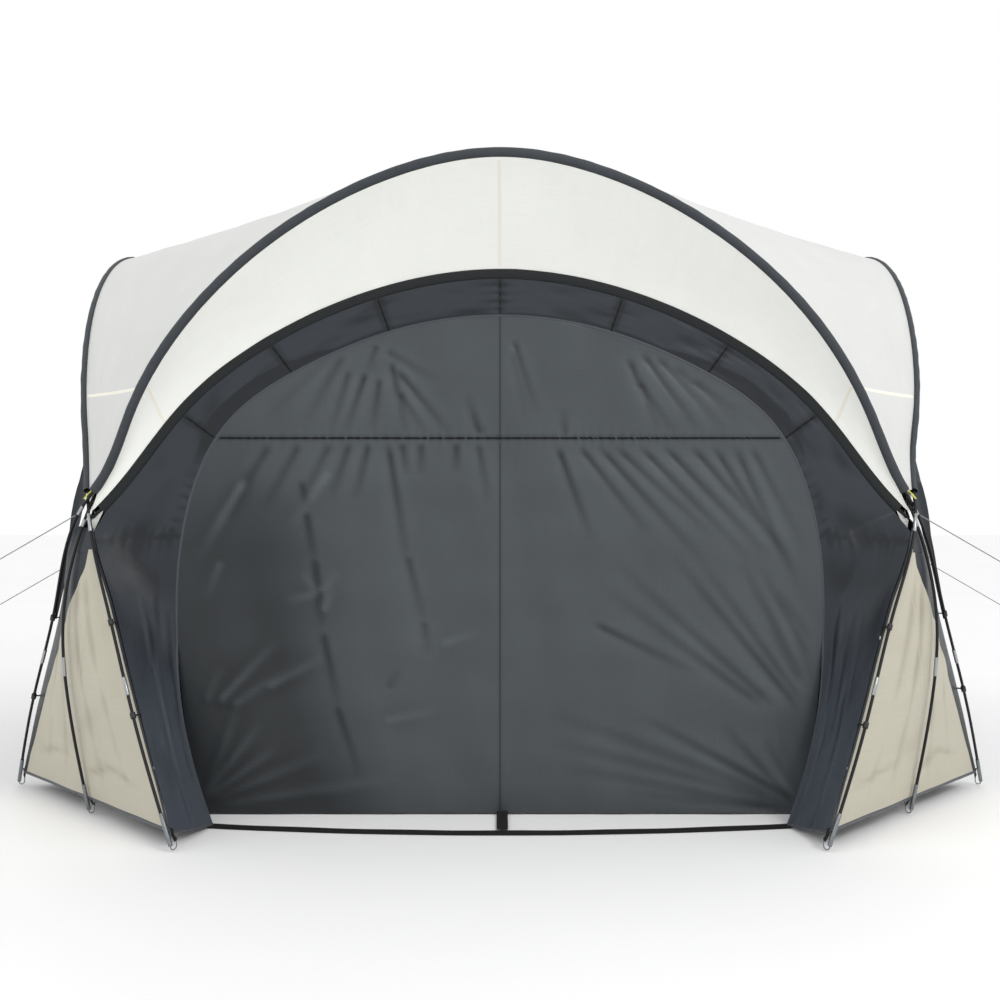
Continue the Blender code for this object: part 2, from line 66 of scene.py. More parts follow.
def linear(colour):
    """The linear light of an sRGB hex colour."""
    channels = [int(colour[i:i + 2], 16) / 255 for i in (1, 3, 5)]
    return [c / 12.92 if c <= 0.04045 else ((c + 0.055) / 1.055) ** 2.4 for c in channels] + [1]


def new_material(name, colour, **steady):
    """A material, with the values that are the same all over it set on its own shader."""
    material = bpy.data.materials.new(name)
    material.use_nodes = True
    sockets = material.node_tree.nodes["Principled BSDF"].inputs
    sockets["Base Color"].default_value = linear(colour)
    for socket, value in steady.items():
        sockets[socket.replace("_", " ").title().replace("Ior", "IOR")].default_value = value
    return material


def add_node(material, kind, inputs=(), **settings):
    """Adds a node. An input takes a value or another node's output."""
    node = material.node_tree.nodes.new(kind)
    for name, value in settings.items():
        setattr(node, name, value)
    for name, value in dict(inputs).items():
        if isinstance(value, bpy.types.NodeSocket):
            material.node_tree.links.new(value, node.inputs[name])
        else:
            node.inputs[name].default_value = value
    return node


def feed(material, socket, output):
    """Links an output to the material's own shader."""
    material.node_tree.links.new(output, material.node_tree.nodes["Principled BSDF"].inputs[socket])


# Painted screed: almost white, with a faint unevenness.
floor_paint = new_material("pale_floor_paint", "#F8F8F8", roughness=0.7)
place = add_node(floor_paint, "ShaderNodeTexCoord")
cloud = add_node(floor_paint, "ShaderNodeTexNoise", {"Vector": place.outputs["Object"], "Scale": 0.7})
tones = {0: cloud.outputs["Fac"], 6: linear("#F6F6F6"), 7: linear("#FBFBFB")}
tone = add_node(floor_paint, "ShaderNodeMix", tones, data_type="RGBA")
feed(floor_paint, "Base Color", tone.outputs[2])
bpy.ops.mesh.primitive_plane_add(size=80, location=(0, 0, -0.001))
floor = bpy.context.object
floor.name = "floor"
floor.data.materials.append(floor_paint)

# Arch poles
# Four bent glass-fibre poles, 11 mm thick, one for each side. Each leans out over its side and comes
# down beyond both corners to the ground. Where two meet, one passes outside the other.
NODE_OUT = 1.506
NODE_HEIGHT = 1.14
FOOT_OUT = 1.95
FOOT_IN = 1.067
ARCH_LEAN = radians(12.8)
POLE_RADIUS = 0.0055
POLE_LIFT = 0.0118
LEG_BOW = 0.025
OUTER_ARCH = ((0, 1.227), (0.342, 1.168), (0.691, 1.009), (1.054, 0.723), (1.328, 0.335), (1.456, 0.078))
SIDES = ("front", "right", "back", "left")
NODE = np.array((NODE_OUT, -NODE_OUT, NODE_HEIGHT))
OUTWARD = np.array((1, -1, 0)) / sqrt(2)


class Spline:
    """A natural cubic curve through a few points, read by its distance along their chords."""

    def __init__(self, points):
        self.points = np.array(points, float)
        steps = np.diff(self.points, axis=0)
        self.knots = np.concatenate([[0], np.cumsum(np.linalg.norm(steps, axis=1))])
        gaps = np.diff(self.knots)
        rows = np.eye(len(self.knots))
        wanted = np.zeros_like(self.points)
        for i in range(1, len(gaps)):
            rows[i, i - 1:i + 2] = gaps[i - 1], 2 * (gaps[i - 1] + gaps[i]), gaps[i]
            wanted[i] = 6 * (steps[i] / gaps[i] - steps[i - 1] / gaps[i - 1])
        self.bends = np.linalg.solve(rows, wanted)

    def read(self, distances):
        distances = np.array(distances, float)
        i = np.clip(np.searchsorted(self.knots, distances) - 1, 0, len(self.knots) - 2)
        gap = (self.knots[i + 1] - self.knots[i])[:, None]
        b = (distances - self.knots[i])[:, None] / gap
        a = 1 - b
        curve = (a ** 3 - a) * self.bends[i] + (b ** 3 - b) * self.bends[i + 1]
        return a * self.points[i] + b * self.points[i + 1] + curve * gap ** 2 / 6


def flipped(points):
    return np.array(points, float) * (-1, 1, 1)


def both_halves(half):
    return np.concatenate([flipped(half)[::-1][:-1], np.array(half, float)])


def leg_points(start):
    """The bowed leg from a corner to its foot."""
    shares = np.array((0.33, 0.66, 1))[:, None]
    foot = np.array((FOOT_OUT, -FOOT_IN, 0))
    return start + shares * (foot - start) + LEG_BOW * 4 * shares * (1 - shares) * OUTWARD


arch_half = [(u, -NODE_OUT - v * sin(ARCH_LEAN), NODE_HEIGHT + v * cos(ARCH_LEAN)) for u, v in OUTER_ARCH]
raised_node = NODE + OUTWARD * POLE_LIFT
left_leg = flipped(np.concatenate([[raised_node], leg_points(raised_node)]))[::-1]
ARCH = Spline(np.concatenate([left_leg, both_halves(arch_half), [NODE], leg_points(NODE)]))


def bent_rod(points, radius, material):
    """A round rod bent along points, with closed ends."""
    bpy.ops.object.select_all(action="DESELECT")
    bpy.ops.curve.primitive_nurbs_path_add()
    rod = bpy.context.object
    rod.data.splines.clear()
    line = rod.data.splines.new("POLY")
    line.points.add(len(points) - 1)
    line.points.foreach_set("co", np.insert(np.array(points, float), 3, 1, axis=1).ravel())
    rod.data.bevel_depth = radius
    rod.data.bevel_resolution = 3
    rod.data.use_fill_caps = True
    bpy.ops.object.convert(target="MESH")
    bpy.ops.object.mode_set(mode="EDIT")
    bpy.ops.mesh.select_all(action="SELECT")
    bpy.ops.mesh.remove_doubles(threshold=0.00001)
    bpy.ops.mesh.normals_make_consistent(inside=False)
    bpy.ops.object.mode_set(mode="OBJECT")
    bpy.ops.object.shade_smooth_by_angle(angle=radians(40))
    rod.data.materials.clear()
    rod.data.materials.append(material)
    return rod


def settle(piece, replaced=()):
    """The piece stands on the tent's one body and replaces its solids."""
    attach(piece, "root")
    if replaced:
        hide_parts(*replaced)


def all_round(piece, places, kind, replaced=None):
    """Names a piece after the first of four like places, and stands a turned copy at each of the others."""
    pieces = [piece]
    for quarter in (1, 2, 3):
        copy = piece.copy()
        copy.data = piece.data.copy()
        copy.data.transform(Matrix.Rotation(quarter * pi / 2, 4, "Z"))
        bpy.context.scene.collection.objects.link(copy)
        pieces.append(copy)
    for placed, name in zip(pieces, places):
        placed.name = f"{name}_{kind}"
        settle(placed, [f"{name}_{replaced}"] if replaced else ())
    return pieces


# Pultruded glass fibre, pigmented black and clear coated: a smooth dark gloss with fine scuffs.
black_fibreglass = new_material("black_glass_fibre", "#121314", roughness=0.4, specular_ior_level=0.3)
place = add_node(black_fibreglass, "ShaderNodeTexCoord").outputs["Object"]
scuff = {"Vector": place, "Scale": 90, "Detail": 4, "Roughness": 0.7}
scuff = add_node(black_fibreglass, "ShaderNodeTexNoise", scuff).outputs["Fac"]
gloss = add_node(black_fibreglass, "ShaderNodeMapRange", {"Value": scuff, "To Min": 0.32, "To Max": 0.55})
feed(black_fibreglass, "Roughness", gloss.outputs[0])
tones = {0: scuff, 6: linear("#0B0C0D"), 7: linear("#1A1B1D")}
worn = add_node(black_fibreglass, "ShaderNodeMix", tones, data_type="RGBA")
feed(black_fibreglass, "Base Color", worn.outputs[2])
FOOT_TUBE_DEPTH = 0.02
arch_line = ARCH.read(np.linspace(FOOT_TUBE_DEPTH, ARCH.knots[-1] - FOOT_TUBE_DEPTH, 200))
all_round(bent_rod(arch_line, POLE_RADIUS, black_fibreglass), SIDES, "bent_arch_pole", "arch_pole")

# Diagonal poles
# Two longer poles of the same kind cross under the top of the roof and form the middle leg of each
# corner. One passes over the other where they cross.
APEX_HEIGHT = 2.535
MIDDLE_FOOT = 1.501
DIAGONAL = ((2.208, 0.45), (2.223, 0.71), (2.1182, 1.14), (1.845, 1.6), (1.345, 2.1), (0.7, 2.425))


def diagonal_curve(lift):
    """A diagonal pole's curve in the plane of X and Z, raised at the crossing."""
    half = [(0, 0, APEX_HEIGHT + lift)] + [(r, 0, z) for r, z in DIAGONAL[::-1]]
    return Spline(both_halves(half + [(MIDDLE_FOOT * sqrt(2), 0, 0)]))


for name, lift, angle in (("diagonal_pole_a", -0.5, pi / 4), ("diagonal_pole_b", 0.5, 3 * pi / 4)):
    curve = diagonal_curve(lift * POLE_LIFT)
    turn = np.array(((cos(angle), sin(angle), 0), (-sin(angle), cos(angle), 0), (0, 0, 1)))
    line = curve.read(np.linspace(FOOT_TUBE_DEPTH, curve.knots[-1] - FOOT_TUBE_DEPTH, 200)) @ turn
    pole = bent_rod(line, POLE_RADIUS, black_fibreglass)
    pole.name = name.replace("pole", "bent_pole")
    settle(pole, [name])

# Joints and feet of the poles
# Nickel-plated steel sleeves join the pole lengths, and a longer one ends each leg. A zinc-plated wire
# hook in each foot holds the cloth's ground tab.
CORNERS = ("front_right", "back_right", "back_left", "front_left")
LEFT_NODE_AT, RIGHT_NODE_AT = ARCH.knots[3], ARCH.knots[-4]


def turned(points, quarter):
    """Points turned about the tent's middle by quarter turns."""
    for _ in range(quarter % 4):
        points = np.stack([-points[..., 1], points[..., 0], points[..., 2]], axis=-1)
    return points


def place_at_height(curve, first, last, height):
    """The point of a rising or falling stretch of a curve at a height."""
    stretch = np.linspace(first, last, 400)
    points = curve.read(stretch)
    order = np.argsort(points[:, 2])
    return curve.read([np.interp(height, points[order, 2], stretch[order])])[0]


def near_leg(height):
    """The right arch's leg in front of the front right corner."""
    return turned(place_at_height(ARCH, 0, LEFT_NODE_AT, height), 1)


def far_leg(height):
    """The front arch's leg beyond the front right corner."""
    return place_at_height(ARCH, RIGHT_NODE_AT, ARCH.knots[-1], height)


def middle_leg(height):
    """The diagonal pole's leg at the front right corner."""
    return OUTWARD * abs(place_at_height(diagonal_curve(0), 0, 1.3, height)[0]) + (0, 0, height)


def metal_tube(start, end, radius, material):
    """A short straight tube with rounded rims."""
    start, end = Vector(start), Vector(end)
    bpy.ops.object.select_all(action="DESELECT")
    bpy.ops.mesh.primitive_cylinder_add(vertices=20, radius=radius, depth=(end - start).length,
                                        location=(start + end) / 2,
                                        rotation=(end - start).to_track_quat("Z", "Y").to_euler())
    tube = bpy.context.object
    bpy.ops.object.mode_set(mode="EDIT")
    bpy.ops.mesh.select_mode(type="FACE")
    bpy.ops.mesh.select_all(action="DESELECT")
    bpy.ops.object.mode_set(mode="OBJECT")
    for face in tube.data.polygons:
        face.select = len(face.vertices) > 4
    bpy.ops.object.mode_set(mode="EDIT")
    bpy.ops.mesh.bevel(offset=radius * 0.2, segments=2)
    bpy.ops.object.mode_set(mode="OBJECT")
    bpy.ops.object.transform_apply()
    bpy.ops.object.shade_smooth_by_angle(angle=radians(35))
    tube.data.materials.append(material)
    return tube


def choose(*pieces):
    """Selects pieces and nothing else, the first of them as the active one."""
    bpy.ops.object.select_all(action="DESELECT")
    for piece in pieces:
        piece.select_set(True)
    bpy.context.view_layer.objects.active = pieces[0]


def joined(pieces):
    choose(*pieces)
    bpy.ops.object.join()
    return pieces[0]


# Nickel-plated steel: bright, and here and there duller where it has been handled.
nickel = new_material("nickel_plated_steel", "#A2A5A8", metallic=1.0, roughness=0.3)
place = add_node(nickel, "ShaderNodeTexCoord")
marks = add_node(nickel, "ShaderNodeTexNoise", {"Vector": place.outputs["Object"], "Scale": 140, "Detail": 3})
gloss = add_node(nickel, "ShaderNodeMapRange", {"Value": marks.outputs["Fac"], "To Min": 0.2, "To Max": 0.45})
feed(nickel, "Roughness", gloss.outputs[0])
# Zinc-plated wire: greyer and duller, with a faint crystal pattern.
zinc = new_material("zinc_plated_wire", "#7E8286", metallic=1.0, roughness=0.4)
place = add_node(zinc, "ShaderNodeTexCoord")
spangle = add_node(zinc, "ShaderNodeTexVoronoi", {"Vector": place.outputs["Object"], "Scale": 240})
tones = {0: spangle.outputs["Distance"], 6: linear("#6C7074"), 7: linear("#94989C")}
tone = add_node(zinc, "ShaderNodeMix", tones, data_type="RGBA")
feed(zinc, "Base Color", tone.outputs[2])

# Each joint's lower and upper end. The joints of a corner's two outer legs change places by turns.
FRONT_JOINTS, SIDE_JOINTS = ((0.482, 0.54), (1.037, 1.10)), ((0.526, 0.5785), (1.0975, 1.128))
MIDDLE_JOINTS = ((0.5165, 0.585), (1.053, 1.079))
FOOT_TUBE = (0.018, 0.115)
JOINT_RADIUS = 0.0068
FOOT_TUBE_RADIUS = 0.0072
LEGS = (near_leg, far_leg, middle_leg)
for quarter, corner in enumerate(CORNERS):
    outer = (FRONT_JOINTS, SIDE_JOINTS) if quarter % 2 == 0 else (SIDE_JOINTS, FRONT_JOINTS)
    joints, feet = [], []
    for leg, spans in zip(LEGS, (*outer, MIDDLE_JOINTS)):
        for span in spans:
            joints.append(metal_tube(*(turned(leg(end), quarter) for end in span), JOINT_RADIUS, nickel))
        feet.append(metal_tube(*(turned(leg(end), quarter) for end in FOOT_TUBE), FOOT_TUBE_RADIUS, zinc))
    for kind, tubes in (("pole_joints", joints), ("foot_tubes", feet)):
        tubes = joined(tubes)
        tubes.name = f"{corner}_{kind}"
        settle(tubes)

HOOK_RADIUS = 0.011
HOOK_WIRE_RADIUS = 0.0019
hooks = []
for leg in LEGS:
    foot = leg(0.02)
    bend = [(HOOK_RADIUS * (1 + sin(turn)), HOOK_RADIUS * (1 - cos(turn)) - 0.0155)
            for turn in np.linspace(-pi / 2, pi / 2, 9)]
    bend += [(2 * HOOK_RADIUS, 0.0175), (2 * HOOK_RADIUS + 0.004, 0.0255)]
    line = [foot + (0, 0, 0.02), foot] + [foot - OUTWARD * inward + (0, 0, up) for inward, up in bend]
    hooks.append(bent_rod(line, HOOK_WIRE_RADIUS, zinc))
all_round(joined(hooks), CORNERS, "foot_hooks")

# Outer sleeves
# Charcoal polyester sewn into a flat sleeve over each arch pole, with the roof in its upper seam and the
# visor in its lower one. It stops short of both corners.
SLEEVE_HALF_WIDTH = 0.018
BARE_POLE = 0.055
SLEEVE_OUTSIDE = 0.017
SLEEVE_INSIDE = 0.0085
ARCH_NORMAL = np.array((0, -cos(ARCH_LEAN), sin(ARCH_LEAN)))


def unit(vectors):
    return vectors / np.maximum(np.linalg.norm(vectors, axis=-1, keepdims=True), 1e-9)


def path_axes(path, plane_normal):
    """For each point of a path: its direction, the way through the plane, and the way across in the plane."""
    along = unit(np.gradient(path, axis=0))
    normal = np.array(plane_normal, float)
    side = unit(normal - (along @ normal)[:, None] * along)
    out = unit(np.cross(side, along))
    return along, side, out * (1 if out[len(out) // 2][2] > 0 else -1)


def add_piece(name, points, faces, cut, material):
    """A mesh piece. cut holds each face corner's place on the flat cloth, in metres."""
    mesh = bpy.data.meshes.new(name)
    mesh.from_pydata(np.reshape(points, (-1, 3)).tolist(), [], faces)
    mesh.uv_layers.new(name="cut").data.foreach_set("uv", np.array(cut, float).ravel())
    mesh.materials.append(material)
    mesh.shade_smooth()
    piece = bpy.data.objects.new(name, mesh)
    bpy.context.scene.collection.objects.link(piece)
    return piece


def lengths_along(grid, axis):
    """Distances along a grid's rows or columns, averaged across it."""
    steps = np.linalg.norm(np.diff(grid, axis=axis), axis=-1).mean(axis=1 - axis)
    return np.concatenate([[0], np.cumsum(steps)])


def sheet_piece(name, grid, material, thickness=0.0012, cut=None, shade=None, closed=False):
    """A closed sheet about a grid of points. A closed grid is a tube round its columns."""
    rows, columns = grid.shape[:2]
    if cut is None:
        cut = np.stack(np.meshgrid(lengths_along(grid, 0), lengths_along(grid, 1), indexing="ij"), axis=-1)
    index = np.arange(rows * columns).reshape(rows, columns)
    if closed:
        index = np.concatenate([index, index[:, :1]], axis=1)
        seam = cut[:, -1:] + (cut[:, -1:] - cut[:, -2:-1])
        cut = np.concatenate([cut, seam], axis=1)
    corners = [(slice(0, -1), slice(0, -1)), (slice(0, -1), slice(1, None)),
               (slice(1, None), slice(1, None)), (slice(1, None), slice(0, -1))]
    faces = np.stack([index[corner] for corner in corners], axis=-1).reshape(-1, 4).tolist()
    places = np.stack([cut[corner] for corner in corners], axis=-2).reshape(-1, 2)
    piece = add_piece(name, grid, faces, places, material)
    if shade is not None:
        layer = piece.data.attributes.new("shade", "FLOAT", "POINT")
        layer.data.foreach_set("value", np.array(shade, float).ravel())
    choose(piece)
    thick = piece.modifiers.new("cloth", "SOLIDIFY")
    thick.thickness = thickness
    thick.offset = 0
    bpy.ops.object.modifier_apply(modifier=thick.name)
    piece.data.set_sharp_from_angle(angle=radians(60))
    return piece


def waves(a, b, seed, count, longest, shortest):
    """A gentle unevenness over a grid of places, the same each run."""
    chance = np.random.default_rng(seed)
    total = np.zeros(np.broadcast(a, b).shape)
    for _ in range(count):
        length = chance.uniform(shortest, longest)
        angle = chance.uniform(0, pi)
        phase = chance.uniform(0, 2 * pi)
        total += np.sin(2 * pi * (a * cos(angle) + b * sin(angle)) / length + phase)
    return total / sqrt(count)


def sleeve_grid(path, plane_normal, half_width, outside, inside, seed):
    """Rings of a flat sleeve that bulges over its pole and is creased a little along its length."""
    _, side, out = path_axes(path, plane_normal)
    turns = 2 * pi * np.arange(14) / 14
    at = lengths_along(path[:, None], 0)
    wide = half_width * (1 + 0.05 * waves(at, 0, seed, 6, 0.5, 0.06))[:, None]
    shape = np.sign(np.sin(turns)) * np.abs(np.sin(turns)) ** 1.4
    uneven = (1 + 0.05 * waves(at, 0, seed + 1, 8, 0.2, 0.04))[:, None]
    across = wide * np.cos(turns)
    through = uneven * shape * np.where(shape > 0, outside, inside)
    return path[:, None] + across[..., None] * out[:, None] + through[..., None] * side[:, None]


def woven(name, light, dark, painted_shade_tone, roughness, gloss, sheen, crumple, crease=0.0015):
    """Woven cloth: uneven threads both ways, soft blotches, and the crumpling of a packed tent. Its threads
    are drawn 2.5 mm apart, so that they show, and its shade attribute paints shade on it, mixing it towards a
    dark tone."""
    cloth = new_material(name, light, roughness=roughness, sheen_weight=sheen, sheen_roughness=0.5,
                         specular_ior_level=gloss)
    flat = add_node(cloth, "ShaderNodeUVMap", uv_map="cut").outputs["UV"]
    threads = []
    for scale in ((400, 9, 1), (9, 400, 1)):
        laid = add_node(cloth, "ShaderNodeMapping", {"Vector": flat, "Scale": scale}).outputs[0]
        thread = add_node(cloth, "ShaderNodeTexNoise", {"Vector": laid, "Scale": 1, "Detail": 2})
        threads.append(thread.outputs["Fac"])
    weave = add_node(cloth, "ShaderNodeMath", dict(enumerate(threads)), operation="ADD").outputs[0]
    blotch = add_node(cloth, "ShaderNodeTexNoise", {"Vector": flat, "Scale": 4, "Detail": 5}).outputs["Fac"]
    uneven = add_node(cloth, "ShaderNodeMath", {0: weave, 1: blotch}, operation="ADD").outputs[0]
    amount = add_node(cloth, "ShaderNodeMapRange", {"Value": uneven, "From Min": 1.0, "From Max": 2.0})
    tones = {0: amount.outputs[0], 6: linear(dark), 7: linear(light)}
    tone = add_node(cloth, "ShaderNodeMix", tones, data_type="RGBA").outputs[2]
    shade = add_node(cloth, "ShaderNodeAttribute", attribute_name="shade").outputs["Fac"]
    tones = {0: shade, 6: tone, 7: linear(painted_shade_tone)}
    feed(cloth, "Base Color", add_node(cloth, "ShaderNodeMix", tones, data_type="RGBA").outputs[2])
    folds = {"Vector": flat, "Scale": 9, "Detail": 6, "Roughness": 0.62, "Distortion": 0.6}
    folds = add_node(cloth, "ShaderNodeTexNoise", folds).outputs["Fac"]
    sharp = {"Vector": flat, "Scale": 5, "Detail": 3, "Roughness": 0.5, "Lacunarity": 2.3, "Distortion": 0.9}
    sharp = add_node(cloth, "ShaderNodeTexNoise", sharp, noise_type="RIDGED_MULTIFRACTAL").outputs["Fac"]
    relief = {}
    for height, distance, strength in ((folds, crumple, 0.6), (sharp, crease, 0.5), (weave, 0.0004, 0.35)):
        relief.update({"Height": height, "Distance": distance, "Strength": strength})
        relief = {"Normal": add_node(cloth, "ShaderNodeBump", relief).outputs[0]}
    feed(cloth, "Normal", relief["Normal"])
    return cloth


# Polyester Oxford, dyed charcoal: matt, with a coarse uneven weave and soft blotches.
charcoal_oxford = woven("charcoal_oxford", "#43474B", "#363A3E", "#1E2122", 0.62, 0.2, 0.04, 0.004)
sleeve_path = ARCH.read(np.linspace(LEFT_NODE_AT + BARE_POLE, RIGHT_NODE_AT - BARE_POLE, 181))
rings = sleeve_grid(sleeve_path, ARCH_NORMAL, SLEEVE_HALF_WIDTH, SLEEVE_OUTSIDE, SLEEVE_INSIDE, 11)
sleeve = sheet_piece("sleeve", rings, charcoal_oxford, 0.001, closed=True)
sleeves = all_round(sleeve, SIDES, "outer_sleeve", "arch_sleeve")

# Inner arches
# A thinner pole runs in a charcoal sleeve along the top of each wall. Its bare black ends sit in the
# corners.
WALL_OUT = 1.50
INNER_ARCH = ((0, 1.979), (0.362, 1.932), (0.833, 1.739), (1.158, 1.487), (1.398, 1.185), (1.4905, 1.086))
INNER_TIP = 0.045
INNER_OUTSIDE = 0.0072
INNER_INSIDE = 0.0068
INNER_POLE_RADIUS = 0.0052
INSIDE_SLEEVE = 0.06
INNER_CURVE = Spline(both_halves([(x, -WALL_OUT, z) for x, z in INNER_ARCH]))
inner_end = INNER_CURVE.knots[-1]
inner_path = INNER_CURVE.read(np.linspace(INNER_TIP, inner_end - INNER_TIP, 181))
inner_rings = sleeve_grid(inner_path, (0, -1, 0), SLEEVE_HALF_WIDTH, INNER_OUTSIDE, INNER_INSIDE, 23)
# Painted shade: the inner sleeves are coloured almost all the way to the cloth's dark shade tone, for the
# shade under the visors.
even_painted_shade = np.full(inner_rings.shape[:2], 0.95)
inner_sleeve = sheet_piece("inner_sleeve", inner_rings, charcoal_oxford, 0.0008, shade=even_painted_shade, closed=True)
inner_sleeves = all_round(inner_sleeve, SIDES, "inner_sleeve", "inner_arch")
for way, start, end in (("left", 0.001, INNER_TIP + INSIDE_SLEEVE),
                        ("right", inner_end - INNER_TIP - INSIDE_SLEEVE, inner_end - 0.001)):
    tip = bent_rod(INNER_CURVE.read(np.linspace(start, end, 14)), INNER_POLE_RADIUS, black_fibreglass)
    all_round(tip, SIDES, f"inner_pole_{way}_end")

# Visors
# The strips of white coated polyester from each outer sleeve back and down to the wall's sleeve. They
# are stretched tight and sewn from four pieces, with the cloth doubled in the seams.
SEAM = 0.0006


def rows_between(first, last, steps):
    """A grid from one row of points straight across to another."""
    shares = np.linspace(0, 1, steps + 1)[:, None, None]
    return (1 - shares) * first[None] + shares * last[None]


def normals_of(grid):
    return unit(np.cross(np.gradient(grid, axis=0), np.gradient(grid, axis=1)))


def normals_towards(grid, way):
    """Normals of a grid, on the side of it that faces a way at its middle."""
    normals = normals_of(grid)
    return normals * np.sign(normals[len(normals) // 2, normals.shape[1] // 2] @ np.array(way))


def strip_on(grid, centre, across, width, lift):
    """Rings of a narrow sewn strip along points of a grid, in its row and column numbers."""
    place = np.array(centre, float)

    def read(values):
        low = np.clip(np.floor(place).astype(int), 0, np.array(values.shape[:2]) - 2)
        part = place - low
        row, column = low.T
        a, b = part[:, :1], part[:, 1:]
        top = (1 - b) * values[row, column] + b * values[row, column + 1]
        bottom = (1 - b) * values[row + 1, column] + b * values[row + 1, column + 1]
        return (1 - a) * top + a * bottom

    points, normal = read(grid), unit(read(normals_of(grid)))
    facing = np.sign(normal @ np.array(across))[:, None]
    normal = normal * np.where(facing == 0, 1, facing)
    side = unit(np.cross(normal, np.gradient(points, axis=0)))
    shape = ((-0.5, -0.6), (-0.5, 0.4), (-0.25, 1), (0.25, 1), (0.5, 0.4), (0.5, -0.6))
    return np.stack([points + side * width * a + normal * lift * b for a, b in shape], axis=1)


def tube_faces(rows, corners):
    """The faces of a tube, as numbers of its points ring by ring."""
    faces = []
    for i in range(rows - 1):
        for j in range(corners):
            a, b = i * corners + j, i * corners + (j + 1) % corners
            faces.append((a, b, b + corners, a + corners))
    return faces


def strips_piece(name, strips, material, quarter=0):
    """One piece from the rings of several closed strips, turned to a side or corner of the tent."""
    points, faces, cut = [], [], []
    for rings in strips:
        start, (rows, corners) = len(points), rings.shape[:2]
        points.extend(turned(rings, quarter).reshape(-1, 3).tolist())
        at = lengths_along(rings, 0)
        for face in tube_faces(rows, corners):
            faces.append([start + k for k in face])
            i, j = divmod(face[0], corners)
            cut.extend([(at[i], j * 0.004), (at[i], j * 0.004 + 0.004),
                        (at[i + 1], j * 0.004 + 0.004), (at[i + 1], j * 0.004)])
        for end in (0, rows - 1):
            ring = [start + end * corners + j for j in range(corners)]
            faces.append(ring if end else ring[::-1])
            cut.extend([(at[end], 0.0)] * corners)
    piece = add_piece(name, points, faces, cut, material)
    choose(piece)
    bpy.ops.object.mode_set(mode="EDIT")
    bpy.ops.mesh.select_all(action="SELECT")
    bpy.ops.mesh.normals_make_consistent(inside=False)
    bpy.ops.object.mode_set(mode="OBJECT")
    bpy.ops.object.shade_smooth_by_angle(angle=radians(50))
    return piece


def line_on(row_from, column_from, row_to, column_to, count):
    """A straight line on a grid, as rows and columns."""
    return np.linspace((row_from, column_from), (row_to, column_to), count)


def ribbed(material, scale, unevenness, tones=None, height=0.0004, strength=0.6, turn=0):
    """Rows of stitches, ribs or strands across a tape or rope, in two tones, in relief or both. They lie
    314 mm / scale apart, which is as fine as still shows."""
    flat = add_node(material, "ShaderNodeUVMap", uv_map="cut").outputs["UV"]
    laid = add_node(material, "ShaderNodeMapping", {"Vector": flat, "Rotation": (0, 0, turn)}).outputs[0]
    rows = {"Vector": laid, "Scale": scale, "Distortion": unevenness}
    rows = add_node(material, "ShaderNodeTexWave", rows).outputs["Fac"]
    if tones:
        tones = {0: rows, 6: linear(tones[0]), 7: linear(tones[1])}
        feed(material, "Base Color", add_node(material, "ShaderNodeMix", tones, data_type="RGBA").outputs[2])
    if height:
        relief = {"Height": rows, "Distance": height, "Strength": strength}
        feed(material, "Normal", add_node(material, "ShaderNodeBump", relief).outputs[0])


# Polyester coated white: smooth, with soft creases from the bag, and painted brighter than the roof for the
# daylight that shines through it.
white_polyester = woven("white_coated_polyester", "#F5F6F1", "#EDEEE9", "#B9BAB8", 0.6, 0.2, 0.03, 0.002)
# The same cloth doubled in a seam: creamier, and ribbed across by its stitches.
seam_cloth = new_material("white_seam_tape", "#EDE9DC", roughness=0.6)
ribbed(seam_cloth, 63, 0.4, strength=0.5)

VISOR_SAG = 0.012
_, _, sleeve_out = path_axes(sleeve_path, ARCH_NORMAL)
_, _, inner_out = path_axes(inner_path, (0, -1, 0))
visor_front = sleeve_path - sleeve_out * (SLEEVE_HALF_WIDTH + SEAM)
visor_back = inner_path + inner_out * (SLEEVE_HALF_WIDTH + SEAM)
visor = rows_between(visor_front, visor_back, 20)
share = np.linspace(0, 1, 21)[:, None]
place_along = lengths_along(visor, 1)[None]
crumple = waves(place_along, share * 0.5, 5, 14, 0.9, 0.18) * np.minimum(1, 8 * share * (1 - share))
sag = VISOR_SAG * 4 * share * (1 - share) + 0.0012 * crumple
visor = visor + normals_towards(visor, (0, 1, 0.4)) * sag[..., None]
front_visor = sheet_piece("visor", visor, white_polyester)
visor_pieces = all_round(front_visor, SIDES, "visor_cloth", "visor")
seams = [strip_on(visor, line_on(0.5, column, 19.5, column, 30), (0, -1, -0.5), 0.012, 0.0016)
         for column in (90, 20, 160)]
visor_seams = all_round(strips_piece("visor_seams", seams, seam_cloth), SIDES, "visor_seams")

# Below the sleeves' ends the visor runs on to the corner in two small tips, before and behind the inner
# pole's bare end.
TIP_POINT = (1.497, -1.512, 1.108)
TIP_LOW = ((1.4515, -1.497, 1.115), (1.4925, -1.492, 1.03), (1.4975, -1.494, 1.078))
for way, column in ((1, -1), (-1, 0)):
    wide_end = visor[:, column]
    point = np.array(TIP_POINT) * (way, 1, 1)
    narrow_end = point + (wide_end - wide_end.mean(axis=0)) * 0.05
    tip = rows_between(wide_end + (point - wide_end) * 0.01, narrow_end, 10)
    tip[:, :, 1] += 0.006 * np.sin(pi * np.linspace(0, 1, 11))[:, None]
    kind = "right" if way > 0 else "left"
    piece = sheet_piece("tip", tip, white_polyester)
    all_round(piece, SIDES, f"visor_{kind}_tip")
    a, b, c = np.array(TIP_LOW) * (way, 1, 1)
    low_tip = rows_between(np.linspace(a, c, 7), np.linspace(b + (a - b) * 0.02, b + (c - b) * 0.2, 7), 8)
    piece = sheet_piece("tip", low_tip, white_polyester)
    all_round(piece, SIDES, f"visor_{kind}_lower_tip")

